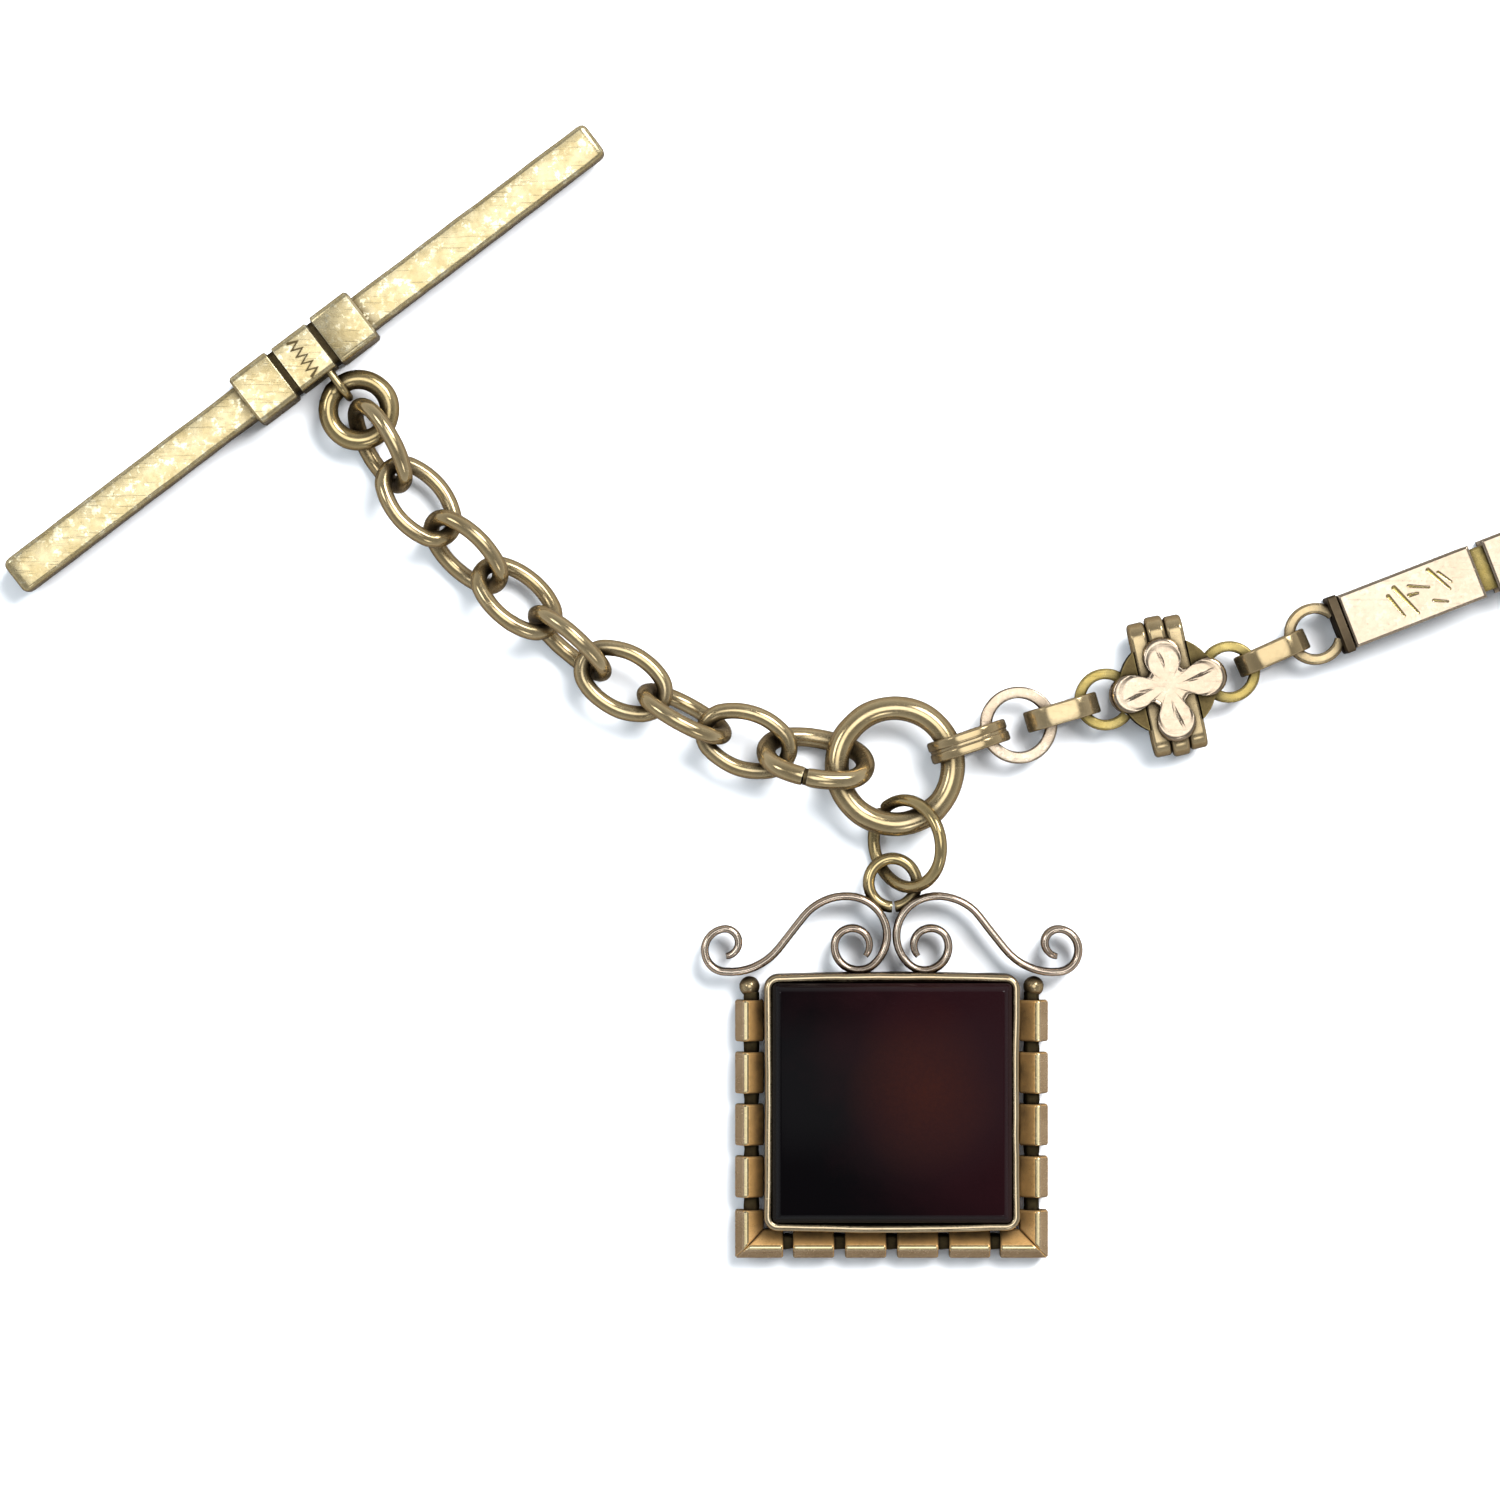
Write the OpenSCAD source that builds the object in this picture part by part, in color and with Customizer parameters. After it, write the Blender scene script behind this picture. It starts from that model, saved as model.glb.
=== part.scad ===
// Pocket watch chain with a T-bar, a seal fob and a swivel clip, laid out on a table.
// Z = 0 is the table, X = Y = 0 is the middle of the centre ring, and all sizes are millimetres.
// Three runs leave the centre ring: oval links to the T-bar, a jump ring to the fob, and the
// ornamental half of the chain that ends in the swivel.

/* [Centre ring] */
// Outer diameter of the big ring that joins the three runs
ring_od = 7.0; // [6:0.1:9]
// Thickness of its round wire
ring_wire = 1.22; // [0.8:0.02:1.3]
// Height of its middle above the table, held up by what threads it
ring_z = 1.8; // [1.6:0.05:2.2]

/* [Oval links] */
// Outer length of an oval link
link_l = 5.25; // [4.6:0.05:6]
// Outer width of an oval link
link_w = 3.7; // [3.2:0.05:4.2]
// Thickness of its round wire
link_wire = 0.85; // [0.6:0.01:1]
// Radius of the wire's middle round each end of the oval
link_end_r = 1.15; // [1:0.05:1.3]
// Outer length of the split link next to the centre ring
split_l = 6.0; // [5.4:0.05:6.6]
// Outer width of the split link
split_w = 4.3; // [3.8:0.05:4.8]
// Thickness of its heavier wire
split_wire = 1.0; // [0.8:0.01:1.1]
// Gap left where the split link opens
split_gap = 0.15; // [0.08:0.01:0.4]

/* [T-bar] */
// Length of the T-bar
bar_l = 36.2; // [30:0.1:44]
// Width of its flat top
bar_w = 1.85; // [1.4:0.05:2.4]
// Thickness of the bar
bar_t = 1.7; // [1.2:0.05:2.2]
// Length of the sleeve round the middle of the bar
sleeve_l = 7.3; // [6:0.1:9]
// Outside width and height of the sleeve
sleeve_w = 2.84; // [2.7:0.02:3.2]
// Outer diameter of the ring that hangs in the bar's staple
t_ring_od = 4.05; // [3.8:0.05:4.6]
// Thickness of that ring's wire
t_ring_wire = 1.0; // [0.7:0.02:1.05]

/* [Fob] */
// Outer width of the setting round the stone
bezel_w = 12.7; // [11:0.1:15]
// Thickness of the setting's lip
bezel_lip = 0.5; // [0.3:0.05:0.9]
// Height of the setting above the back plate
bezel_h = 2.1; // [1.4:0.1:3]
// Width of the faceted border rods
border_w = 1.45; // [1:0.05:2]
// Length from one border rod to the next
border_pitch = 2.59; // [2.4:0.01:2.7]
// Thickness of the scroll strip
scroll_t = 0.38; // [0.25:0.01:0.5]
// Height of the scroll strip
scroll_h = 1.3; // [0.8:0.1:2]

/* [Ornamental links] */
// Outer length of a strap link
strap_l = 3.8; // [3.6:0.05:4]
// Width of the strap
strap_w = 1.1; // [0.8:0.05:1.3]
// Thickness of the strap
strap_t = 0.38; // [0.25:0.01:0.42]
// Height of a strap link as it stands on its edge
strap_h = 2.6; // [2.5:0.05:3]
// Outer diameter of the plain washer ring
washer_od = 3.9; // [3.6:0.05:4.4]
// Inner diameter of the washer ring
washer_id = 2.6; // [2.3:0.05:2.8]
// Outer diameter of the flat rings on beads and bars
eye_od = 3.1; // [2.9:0.05:3.4]
// Inner diameter of those rings
eye_id = 2.0; // [1.8:0.05:2.2]
// Distance between the two rings of a bead
bead_span = 6.3; // [6:0.05:7]
// Length of the hoop across a bead
hoop_l = 7.1; // [6.4:0.1:8]
// Distance between the two rings of an engraved bar
bar_span = 17.72; // [16:0.02:22]
// Length of each engraved plate
plate_l = 7.0; // [6:0.1:7.1]
// Width of each engraved plate
plate_w = 2.78; // [2.2:0.02:3.2]

/* [Swivel clip] */
// Length of the swivel's pear-shaped hook
hook_l = 15.0; // [13:0.5:19]
// Outer width of the hook
hook_w = 9.0; // [8:0.5:11]
// Thickness of the hook's wire
hook_wire = 1.8; // [1.4:0.1:2.2]

/* [Hidden] */
$fn = 48;
eps = 0.01;
fit = 0.03;                        // smallest gap left between pieces that move
seam = 0.02;                       // how far a solder seam stands proud
link_n = 8;                        // oval links between the split link and the T-bar's ring
function dir(h) = [cos(h), sin(h), 0];

// ---- the run of oval links, from the centre ring outwards ----
// entry 0 is the split link, 1..8 are the oval links and 9 is the T-bar's ring
run_angle = 182;                   // where on the centre ring the split link hangs
run_head = [170, 161, 152, 151, 139, 140, 136, 130, 119, 125];
run_roll = [53, -12, 70, -5, -72, 35, -48, 28, -60, 0];
run_z = [1.93, 1.86, 1.8, 1.8, 1.8, 1.75, 1.7, 1.7, 1.7, 1.5];
// how far each piece has slipped into the one before it, past the two wires touching
run_slack = [0.31, 0.2, 0.17, 0.11, 0.27, 0.09, 0.13, 0.11, 0.15, 0.72];
function run_wire(i) = i == 0 ? split_wire : i == link_n + 1 ? t_ring_wire : link_wire;
function run_half(i) = (i == 0 ? split_l - split_wire
    : i == link_n + 1 ? t_ring_od - t_ring_wire : link_l - link_wire) / 2;
function run_mid(i) = let(v = dir(run_head[i - 1]) + dir(run_head[i])) v / norm(v);
function run_lap(i) = (run_wire(i - 1) + run_wire(i)) / 2 + run_slack[i];
ring_r = (ring_od - ring_wire) / 2;
split_lap = (ring_wire + split_wire) / 2 + run_slack[0];
function run_xy(i) = i == 0
    ? (ring_r - split_lap) * dir(run_angle) + run_half(0) * dir(run_head[0])
    : run_xy(i - 1) + run_half(i - 1) * dir(run_head[i - 1]) + run_half(i) * dir(run_head[i])
      - run_lap(i) * run_mid(i);
function run_pos(i) = run_xy(i) + [0, 0, run_z[i]];

// ---- T-bar ----
t_heading = 37.2;                  // direction of the bar on the table
t_side = t_heading - 90;           // direction from the bar towards its ring
t_slide = 0.6;                     // how far along the bar the staple sits from the ring's middle
t_gap = 0.2;                       // from the ring's rim to the sleeve
t_face = t_ring_od / 2 + t_gap;    // from the ring's middle to the sleeve's face
t_origin = run_xy(link_n + 1) - (t_face + sleeve_w / 2) * dir(t_side)
    - t_slide * dir(t_heading) + [0, 0, sleeve_w / 2];
end_slope = 0.5;                   // how much each end of the bar leans back
staple_wire = 0.4;
staple_r = t_ring_wire / 2 + 2 * fit + staple_wire / 2; // radius of the staple's bend
staple_reach = 0.68;               // from the sleeve to the middle of the bend

// ---- fob ----
jump_od = 5.0;                     // the thin jump ring between the centre ring and the fob
jump_wire = 0.65;
jump_angle = -81;
jump_dist = 3.9;
jump_tilt = 42;
jump_cut = 215;                    // where the jump ring is open, round its own middle
jump_z = 1.8;
bail_od = 3.0;
bail_wire = 0.6;
bail_pos = [-0.1, -5.8, 1.2];
stone_h = 2.5;
stone_bevel = 0.35;
fob_x = -0.15;                     // middle line of the fob
back_t = 0.5;
bezel_y = -16.7;                   // middle of the stone
border_z = 0.4;                    // underside of the rods round the stone
border_h = 1.5;
border_x = bezel_w / 2 + border_w / 2; // from the stone's middle to the middle of a border side
border_out = border_x + border_w / 2;  // from the stone's middle to the border's outer edge
bezel_top = bezel_y + bezel_w / 2;
rod_l = 2.05;                      // length of each rod
rod_start = 1.3;                   // from the top of the bezel down to the first rod
corner_l = 2.4;                    // length of each leg of a mitred corner
ridge_drop = 0.5;                  // how far the rods' facets fall from the ridge
ridge_part = 0.14;                 // half of the ridge's width, as a part of the rod's width
neck_w = border_w * 0.6;
neck_drop = 0.2;
boss_r = 0.62;
boss_h = 1.2;
boss_y = 0.72;                     // from the top of the bezel down to the middle of a column's boss
scroll_z = 0.6;                    // underside of the scrolls
// each scroll as arcs [radius, turn], left turns positive; the straight comes after the third
scroll_start = [-8.39, -9.46, 5];
scroll_arcs = [[0.68, 185], [1.07, 164], [3.06, 58], [0, 2.02],
    [2.62, -63], [1.94, -126], [1.18, -142], [0.87, -128], [0.83, -84]];

// ---- ornamental half, ring centre to ring centre ----
// odd steps are strap links, even steps are pieces with two rings
hop_len = [6.5, 4.5, bead_span, 4.7, bar_span, 4.5, bead_span, 4.5, bar_span, 4.5, bead_span, 4.5];
hop_head = [18.3, 16.4, 12.6, 23.8, 21.2, -15, -50, -80, -90, -70, -10, 30];
function hop_xy(i) = i == 0 ? [0, 0, 0] : hop_xy(i - 1) + hop_len[i - 1] * dir(hop_head[i - 1]);
function hop_mid(i) = (hop_xy(i) + hop_xy(i + 1)) / 2;
double_l = 4.1;                    // outer length of the double strap link
double_h = 3.3;
eye_z = 1.3;                       // middle height of all flat rings
eye_t = 0.55;                      // thickness of the flat rings
bead_t = 2.6;                      // thickness of a bead
drum_r = 2.45;
lobe_r = 0.88;
flower_t = 0.42;                   // thickness of a quatrefoil plate
lobe_d = [2.12, 1.6, 2.05, 2.0];   // how far each petal's middle is from the bead's middle
hoop_w = 2.75;                     // width of the hoop's three ribs
hoop_t = 0.4;
hoop_h = bead_t - 2 * flower_t;
plate_gap = 0.63;                  // width of the bright recess between two plates
plate_t = 0.4;
core_t = 1.8;
cap_l = 0.5;
cap_w = 3.0;
plate_z = core_t / 2;              // height of a plate's underside over the bar's middle
cap_x = plate_gap / 2 + plate_l;   // from the bar's middle to a cap

// ---- swivel ----
sw_at = hop_xy(12);
sw_heading = 60;
sw_eye_od = 4.0;
sw_eye_wire = 0.9;
sw_z = 1.5;                        // height of the swivel's long axis
post_r = 0.55;
sw_collar_x = 2.3;                 // from the eye's middle to the near end of the collar
sw_collar_l = 3.0;
sw_base_x = 5.6;                   // where the hook's base starts
hook_x = sw_base_x + 1.6;          // where the hook's loop starts
hook_r = (hook_w - hook_wire) / 2;
hook_far = hook_x + hook_l - hook_wire / 2 - hook_r;
gate_pin_x = hook_x + 1.0;
gate_pin_r = 0.3;
root_t = 0.5;                      // thickness of the gate's root on the pin
nose_l = 1.4;                      // length of the hook's nose that the gate closes against

// ================= shared shapes =================

module wire_ring(od, wire) rotate_extrude() translate([(od - wire) / 2, 0]) circle(d = wire);

module wire_arc(r, wire, turn) rotate_extrude(angle = turn) translate([r, 0]) circle(d = wire);

module flat_ring(od, id, t) translate([0, 0, -t / 2]) difference() {
    cylinder(d = od, h = t);
    translate([0, 0, -t]) cylinder(d = id, h = 3 * t);
}

// Oval of four arcs: two tight ends and two long sides, in round wire, soldered where they meet.
module oval_wire(l, w, wire, end_r) {
    a = (l - wire) / 2;
    b = (w - wire) / 2;
    side_r = (pow(a - end_r, 2) + b * b - end_r * end_r) / (2 * (b - end_r));
    half = atan2(side_r - b, a - end_r);
    for (s = [0, 180]) rotate(s) {
        translate([a - end_r, 0]) rotate(-half) wire_arc(end_r, wire, 2 * half);
        translate([0, b - side_r]) rotate(half) wire_arc(side_r, wire, 180 - 2 * half);
        for (q = [-half, half]) translate([a - end_r, 0]) rotate(q) translate([end_r, 0, 0])
            rotate([90, 0, 0]) cylinder(d = wire + seam, h = 4 * seam, center = true);
    }
}

// Strap bent into a stadium that stands on its long side, length along X.
module strap_loop(l, h, w, t) rotate([90, 0, 0]) translate([0, 0, -w / 2]) linear_extrude(w)
    difference() {
        stadium(l, h);
        stadium(l - 2 * t, h - 2 * t);
    }

module stadium(l, h) {
    for (s = [-1, 1]) translate([s * (l - h) / 2, 0]) circle(d = h);
    square([l - h, h], center = true);
}

// ================= T-bar run =================

module centre_ring() color("#A8925E") translate([0, 0, ring_z]) wire_ring(ring_od, ring_wire);

module split_link() color("#A8925E") translate(run_pos(0)) rotate(run_head[0])
    rotate([run_roll[0], 0, 0]) difference() {
        oval_wire(split_l, split_w, split_wire, 1.45);
        translate([split_l * 0.06, split_w / 2 - split_wire / 2, 0])
            cube([split_gap, 2 * split_wire, 2 * split_wire], center = true);
    }

// link_8 is next to the split link and link_1 is next to the T-bar's ring
module oval_link(n) color("#A8925E") let(i = link_n + 1 - n) translate(run_pos(i))
    rotate(run_head[i]) rotate([run_roll[i], 0, 0]) oval_wire(link_l, link_w, link_wire, link_end_r);

module t_bar_ring() color("#B89A62") translate(run_pos(link_n + 1))
    wire_ring(t_ring_od, t_ring_wire);

module at_t_bar() translate(t_origin) rotate(t_heading) children();

module bar_section() offset_square(bar_w, bar_t, 0.28);

// A square with cut corners
module offset_square(w, h, c) polygon([[-w / 2 + c, -h / 2], [w / 2 - c, -h / 2],
    [w / 2, -h / 2 + c], [w / 2, h / 2 - c], [w / 2 - c, h / 2], [-w / 2 + c, h / 2],
    [-w / 2, h / 2 - c], [-w / 2, -h / 2 + c]]);

module t_bar() color("#D9BE92") at_t_bar() difference() {
    rotate([90, 0, 90]) translate([0, 0, -bar_l / 2]) linear_extrude(bar_l) bar_section();
    for (s = [-1, 1]) translate([s * bar_l / 2, 0, 0]) rotate([0, s * 14, s * 12])
        translate([s * 2, 0, 0]) cube([4 - end_slope, 6, 6], center = true);
}

module t_bar_sleeve() color("#D2B57E") at_t_bar() difference() {
    rotate([90, 0, 90]) translate([0, 0, -sleeve_l / 2]) linear_extrude(sleeve_l)
        offset_square(sleeve_w, sleeve_w, 0.35);
    rotate([90, 0, 90]) translate([0, 0, -sleeve_l]) linear_extrude(2 * sleeve_l) bar_section();
    // sunken panel and a groove at each side of it, on top and underneath
    for (up = [-1, 1]) translate([0, 0, up * sleeve_w / 2]) {
        cube([sleeve_l * 0.26, 2 * sleeve_w, 0.16], center = true);
        for (s = [-1, 1]) translate([s * sleeve_l * 0.17, 0, 0])
            cube([0.3, 2 * sleeve_w, 0.5], center = true);
        // zigzag cut across the panel
        for (k = [-2:2]) translate([0, k * 0.45, 0])
            for (s = [-1, 1]) rotate(s * 62) translate([0.3, s * -0.04, 0])
                cube([0.55, 0.09, 0.34], center = true);
    }
}

module t_bar_staple() color("#B89A62") at_t_bar()
    translate([t_slide, -sleeve_w / 2, run_z[link_n + 1] - sleeve_w / 2]) rotate([90, 0, -90])
    for (s = [-1, 1]) {
        translate([staple_reach, 0, 0]) rotate(-90) wire_arc(staple_r, staple_wire, 180);
        translate([0, s * staple_r, 0]) rotate([0, 90, 0])
            cylinder(d = staple_wire, h = staple_reach);
    }

// ================= fob =================

module fob_jump_ring() color("#B09A60") translate(jump_dist * dir(jump_angle) + [0, 0, jump_z])
    rotate(jump_angle) rotate([jump_tilt, 0, 0]) difference() {
        wire_ring(jump_od, jump_wire);
        rotate(jump_cut) translate([jump_od / 2, 0, 0])
            cube([jump_od / 2, 0.12, 2 * jump_wire], center = true);
    }

module fob_bail() color("#B09A60") translate(bail_pos) wire_ring(bail_od, bail_wire);

// Draws one arc of flat strip, moves to its end and draws the next one there.
module scroll_walk(list, i = 0) if (i < len(list)) {
    r = list[i][0];
    turn = list[i][1];
    s = sign(turn);
    if (r == 0) {
        translate([0, -scroll_t / 2, 0]) cube([turn, scroll_t, scroll_h]);
        translate([turn, 0, 0]) scroll_walk(list, i + 1);
    } else {
        translate([0, s * r, 0]) rotate(s > 0 ? -90 : 90 + turn)
            rotate_extrude(angle = abs(turn)) translate([r - scroll_t / 2, 0])
            square([scroll_t, scroll_h]);
        translate([0, s * r, 0]) rotate(turn) translate([0, -s * r, 0]) scroll_walk(list, i + 1);
    }
    cylinder(d = scroll_t + 2 * seam, h = scroll_h);
}

// The left scroll, kept clear of the bail, the setting and the left border
module scroll() difference() {
    union() {
        translate([scroll_start[0], scroll_start[1], scroll_z]) rotate(scroll_start[2])
            scroll_walk(scroll_arcs);
        translate([scroll_start[0], scroll_start[1], scroll_z]) cylinder(r = 0.34, h = scroll_h);
    }
    translate(bail_pos) cylinder(d = bail_od, h = 4, center = true);
    translate([fob_x, bezel_y - 0.07, 0])
        cube([bezel_w + 2 * border_w + 1, bezel_w, 8], center = true);
    translate([fob_x, -15, 0]) cube([10, 30, 10]);
}

module fob_scroll_left() color("#C09058") scroll();

module fob_scroll_right() color("#C09058") translate([2 * fob_x, 0, 0]) mirror([1, 0, 0]) difference() {
    scroll();
    translate([-bail_pos[0] + 2 * fob_x, bail_pos[1], 0])
        cylinder(d = bail_od, h = 8, center = true);
}

// Section of one rod: upright sides, two sloping facets and a narrow flat ridge
module rod_section() polygon([[-border_w / 2, 0], [border_w / 2, 0],
    [border_w / 2, border_h - ridge_drop], [border_w * ridge_part, border_h],
    [-border_w * ridge_part, border_h], [-border_w / 2, border_h - ridge_drop]]);

// One faceted rod along Y, from 0 down to -l
module rod(l) translate([0, -l, border_z]) rotate([90, 0, 180]) linear_extrude(l) rod_section();

// Low strip that shows as the dark necks between the rods, from 0 down to -l
module neck_strip(l) translate([-neck_w / 2, -l, border_z + neck_drop])
    cube([neck_w, l, border_h / 2]);

// Four rods, the strip between them and a round boss on top
module border_column() {
    for (k = [0:3]) translate([0, bezel_top - rod_start - k * border_pitch, 0]) rod(rod_l);
    translate([0, bezel_top - boss_r, 0]) neck_strip(bezel_w / 2 - boss_r + border_out - corner_l);
    translate([0, bezel_top - boss_y, border_z]) cylinder(r = boss_r, h = boss_h);
}
module fob_border_left() color("#B8824A") translate([fob_x - border_x, 0, 0]) border_column();
module fob_border_right() color("#B8824A") translate([fob_x + border_x, 0, 0]) border_column();

// Upright leg of a corner, cut off along the mitre; its outer corner is at 0
module corner_leg() intersection() {
    translate([border_w / 2, corner_l, 0]) rod(corner_l);
    linear_extrude(border_z + border_h)
        polygon([[0, 0], [border_w, border_w], [border_w, corner_l], [0, corner_l]]);
}

module fob_border_bottom() color("#B8824A") translate([fob_x, bezel_y, 0]) {
    for (s = [0, 1]) mirror([s, 0, 0]) translate([-border_out, -border_out, 0]) {
        corner_leg();
        mirror([1, -1, 0]) corner_leg();
    }
    for (k = [0:3]) translate([(k - 1.5) * border_pitch - rod_l / 2, -border_x, 0]) rotate(90)
        rod(rod_l);
    translate([-border_x, -border_x, 0]) rotate(90) neck_strip(2 * border_x);
}

module round_square(w, r) {
    for (x = [-1, 1], y = [-1, 1]) translate([x * (w / 2 - r), y * (w / 2 - r)]) circle(r = r);
    square([w, w - 2 * r], center = true);
    square([w - 2 * r, w], center = true);
}

module fob_back() color("#B8945C") translate([fob_x, bezel_y, 0]) linear_extrude(back_t)
    round_square(bezel_w - 0.4, 0.9);

module fob_bezel() color("#C09A58") translate([fob_x, bezel_y, back_t]) difference() {
    linear_extrude(bezel_h) round_square(bezel_w, 1.1);
    translate([0, 0, -1]) linear_extrude(bezel_h + 2) round_square(bezel_w - 2 * bezel_lip, 0.7);
}

module fob_stone() color("#2A0C10") translate([fob_x, bezel_y, back_t]) {
    w = bezel_w - 2 * bezel_lip;
    linear_extrude(stone_h - stone_bevel) round_square(w, 0.7);
    translate([0, 0, stone_h - stone_bevel]) linear_extrude(stone_bevel)
        round_square(w - 2 * stone_bevel, 0.5);
}

// ================= ornamental half =================

module double_strap_link() color("#B29A60") translate(dir(hop_head[0]) * (hop_len[0] / 2 + 0.62)
        + [0, 0, double_h / 2]) rotate(hop_head[0]) {
    for (s = [-1, 1]) translate([0, s * (strap_w / 4 + 0.02), 0])
        strap_loop(double_l, double_h, strap_w / 2 - 0.04, strap_t);
    strap_loop(double_l - 0.16, double_h - 0.16, 0.12, strap_t - 0.16);
}

module washer_ring() color("#E0C090") translate(hop_xy(1) + [0, 0, eye_z])
    flat_ring(washer_od, washer_id, eye_t);

// strap link n sits in step 2n - 1
module strap_link(n) color("#BCA060") let(i = 2 * n - 1) translate(hop_mid(i)
        + [0, 0, strap_h / 2]) rotate(hop_head[i]) {
    strap_loop(strap_l, strap_h, strap_w, strap_t);
}

module at_bead(n) let(i = 2 * n + (n > 1 ? 2 * n - 2 : 0)) translate(hop_mid(i) + [0, 0, eye_z])
    rotate(hop_head[i]) children();

// Round drum between the two plates, open across the middle where the hoop passes through
module bead_drum(n) color("#A88C4C") at_bead(n) difference() {
    cylinder(r = drum_r, h = bead_t - 2 * flower_t, center = true);
    hoop_cut();
}

// The block of space the hoop passes through, across the bead
module hoop_cut() cube([hoop_w, 3 * drum_r, hoop_h], center = true);

// Three ribs side by side, bent into a long hoop across the bead
module bead_hoop(n) color("#9C8450") at_bead(n) rotate([90, 0, 90]) difference() {
    for (k = [-1:1]) translate([0, 0, (k - 0.5) * hoop_w / 3]) linear_extrude(hoop_w / 3)
        stadium(hoop_l - abs(k) * 0.3, hoop_h - abs(k) * 0.1);
    translate([0, 0, -hoop_w]) linear_extrude(2 * hoop_w)
        stadium(hoop_l - 2 * hoop_t, hoop_h - 2 * hoop_t);
}

module flower_plate() {
    for (k = [0:3]) rotate(90 * k) {
        translate([lobe_d[k], 0, 0]) cylinder(r = lobe_r, h = flower_t);
        translate([0, -0.62, 0]) cube([lobe_d[k], 1.24, flower_t]);
    }
    cylinder(r = 1.15, h = flower_t);
}

// Front and back quatrefoils, each with a vein down every petal
module bead_flowers(n) color("#E8CBA0") at_bead(n) for (s = [0, 180]) rotate([s, 0, 0])
    translate([0, 0, bead_t / 2 - flower_t]) difference() {
        flower_plate();
        for (k = [0:3]) rotate(90 * k + 4) translate([0.9, -0.06, 0.3])
            cube([lobe_d[k] - 0.5, 0.12, 0.3]);
    }

module bead_rings(n) color("#C8A83A") at_bead(n) for (s = [-1, 1])
    difference() {
        translate([s * bead_span / 2, 0, 0]) flat_ring(eye_od, eye_id, eye_t);
        cylinder(r = drum_r, h = 3 * eye_t, center = true);
    }

module at_bar(n) let(i = 4 * n) translate(hop_mid(i) + [0, 0, eye_z]) rotate(hop_head[i])
    children();

module bar_core(n) color("#C8A020") at_bar(n)
    cube([2 * cap_x, plate_w - 0.5, core_t], center = true);

module bar_plates(n) color("#EBD0A8") at_bar(n) for (up = [0, 180], s = [-1, 1])
    rotate([up, 0, 0]) translate([s * (plate_gap / 2 + plate_l / 2), 0, plate_z]) difference() {
        translate([0, 0, plate_t / 2]) cube([plate_l, plate_w, plate_t], center = true);
        // bright cuts: slanting strokes across the plate
        for (k = [-1, 0, 1.6]) translate([s * k * 1.1, 0.1, plate_t]) rotate(8)
            cube([0.12, plate_w * 0.5, 0.14], center = true);
    }

module bar_caps(n) color("#6E5638") at_bar(n) for (s = [-1, 1])
    translate([s * (cap_x + cap_l / 2), 0, 0])
        cube([cap_l, cap_w, core_t + 2 * plate_t], center = true);

module bar_rings(n) color("#B89A4C") at_bar(n) difference() {
    for (s = [-1, 1]) translate([s * bar_span / 2, 0, 0]) flat_ring(eye_od, eye_id, eye_t * 1.4);
    cube([2 * (cap_x + cap_l), cap_w, 4], center = true);
}

// ================= swivel =================

module at_swivel() translate(sw_at + [0, 0, sw_z]) rotate(sw_heading) children();

// Eye with a drilled collar that the post turns in
module swivel_eye() color("#A8925E") at_swivel() difference() {
    union() {
        translate([0, 0, eye_z - sw_z]) wire_ring(sw_eye_od, sw_eye_wire);
        translate([sw_eye_od / 2 - sw_eye_wire / 2, 0, 0]) rotate([0, 90, 0])
            cylinder(r = 1.1, h = sw_collar_x + sw_collar_l - sw_eye_od / 2);
    }
    translate([sw_collar_x - eps, 0, 0]) rotate([0, 90, 0])
        cylinder(r = post_r + fit, h = sw_collar_l + 2);
    translate([sw_collar_x, 0, 0]) rotate([0, 90, 0]) cylinder(r = 0.85, h = 1.0);
}

// Headed post, held in the collar by its head and fixed into the hook's base
module swivel_post() color("#A8925E") at_swivel() rotate([0, 90, 0]) {
    translate([0, 0, sw_collar_x + 0.1]) cylinder(r = 0.8, h = 0.8);
    translate([0, 0, sw_collar_x + 0.1]) cylinder(r = post_r, h = sw_base_x - sw_collar_x - 0.1);
}

module swivel_hook() color("#A8925E") at_swivel() difference() {
    union() {
        translate([sw_base_x, 0, 0]) rotate([0, 90, 0]) cylinder(r1 = 1.2, r2 = 1.5, h = 2.0);
        // far bend and the closed side of the hook
        translate([hook_far, 0, 0]) rotate(-90) wire_arc(hook_r, hook_wire, 180);
        translate([hook_x + hook_r, hook_r, 0]) rotate([0, 90, 0])
            cylinder(d = hook_wire, h = hook_far - hook_x - hook_r);
        translate([hook_x + hook_r, 0, 0]) rotate(90) wire_arc(hook_r, hook_wire, 90);
        for (x = [hook_x + hook_r, hook_far]) translate([x, hook_r, 0]) rotate([0, 90, 0])
            cylinder(d = hook_wire + seam, h = 4 * seam, center = true);
        // jaw for the gate at the near end of the open side
        translate([hook_x + 0.2, -hook_r / 2 - 0.3, 0])
            cube([1.7, hook_r + 0.6, hook_wire], center = true);
        translate([gate_pin_x, -hook_r, 0]) cylinder(r = 1.0, h = hook_wire, center = true);
        translate([hook_far - nose_l, -hook_r, 0]) rotate([0, 90, 0])
            cylinder(d = hook_wire, h = nose_l + eps);
    }
    // slot for the gate's root
    translate([gate_pin_x + 0.3, -hook_r, 0]) cube([2.8, 2.6, 0.9], center = true);
    translate([gate_pin_x, -hook_r, 0]) cylinder(r = gate_pin_r, h = 4, center = true);
}

module swivel_gate_pin() color("#8A7A50") at_swivel() translate([gate_pin_x, -hook_r, 0])
    cylinder(r = gate_pin_r, h = hook_wire, center = true);

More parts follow.
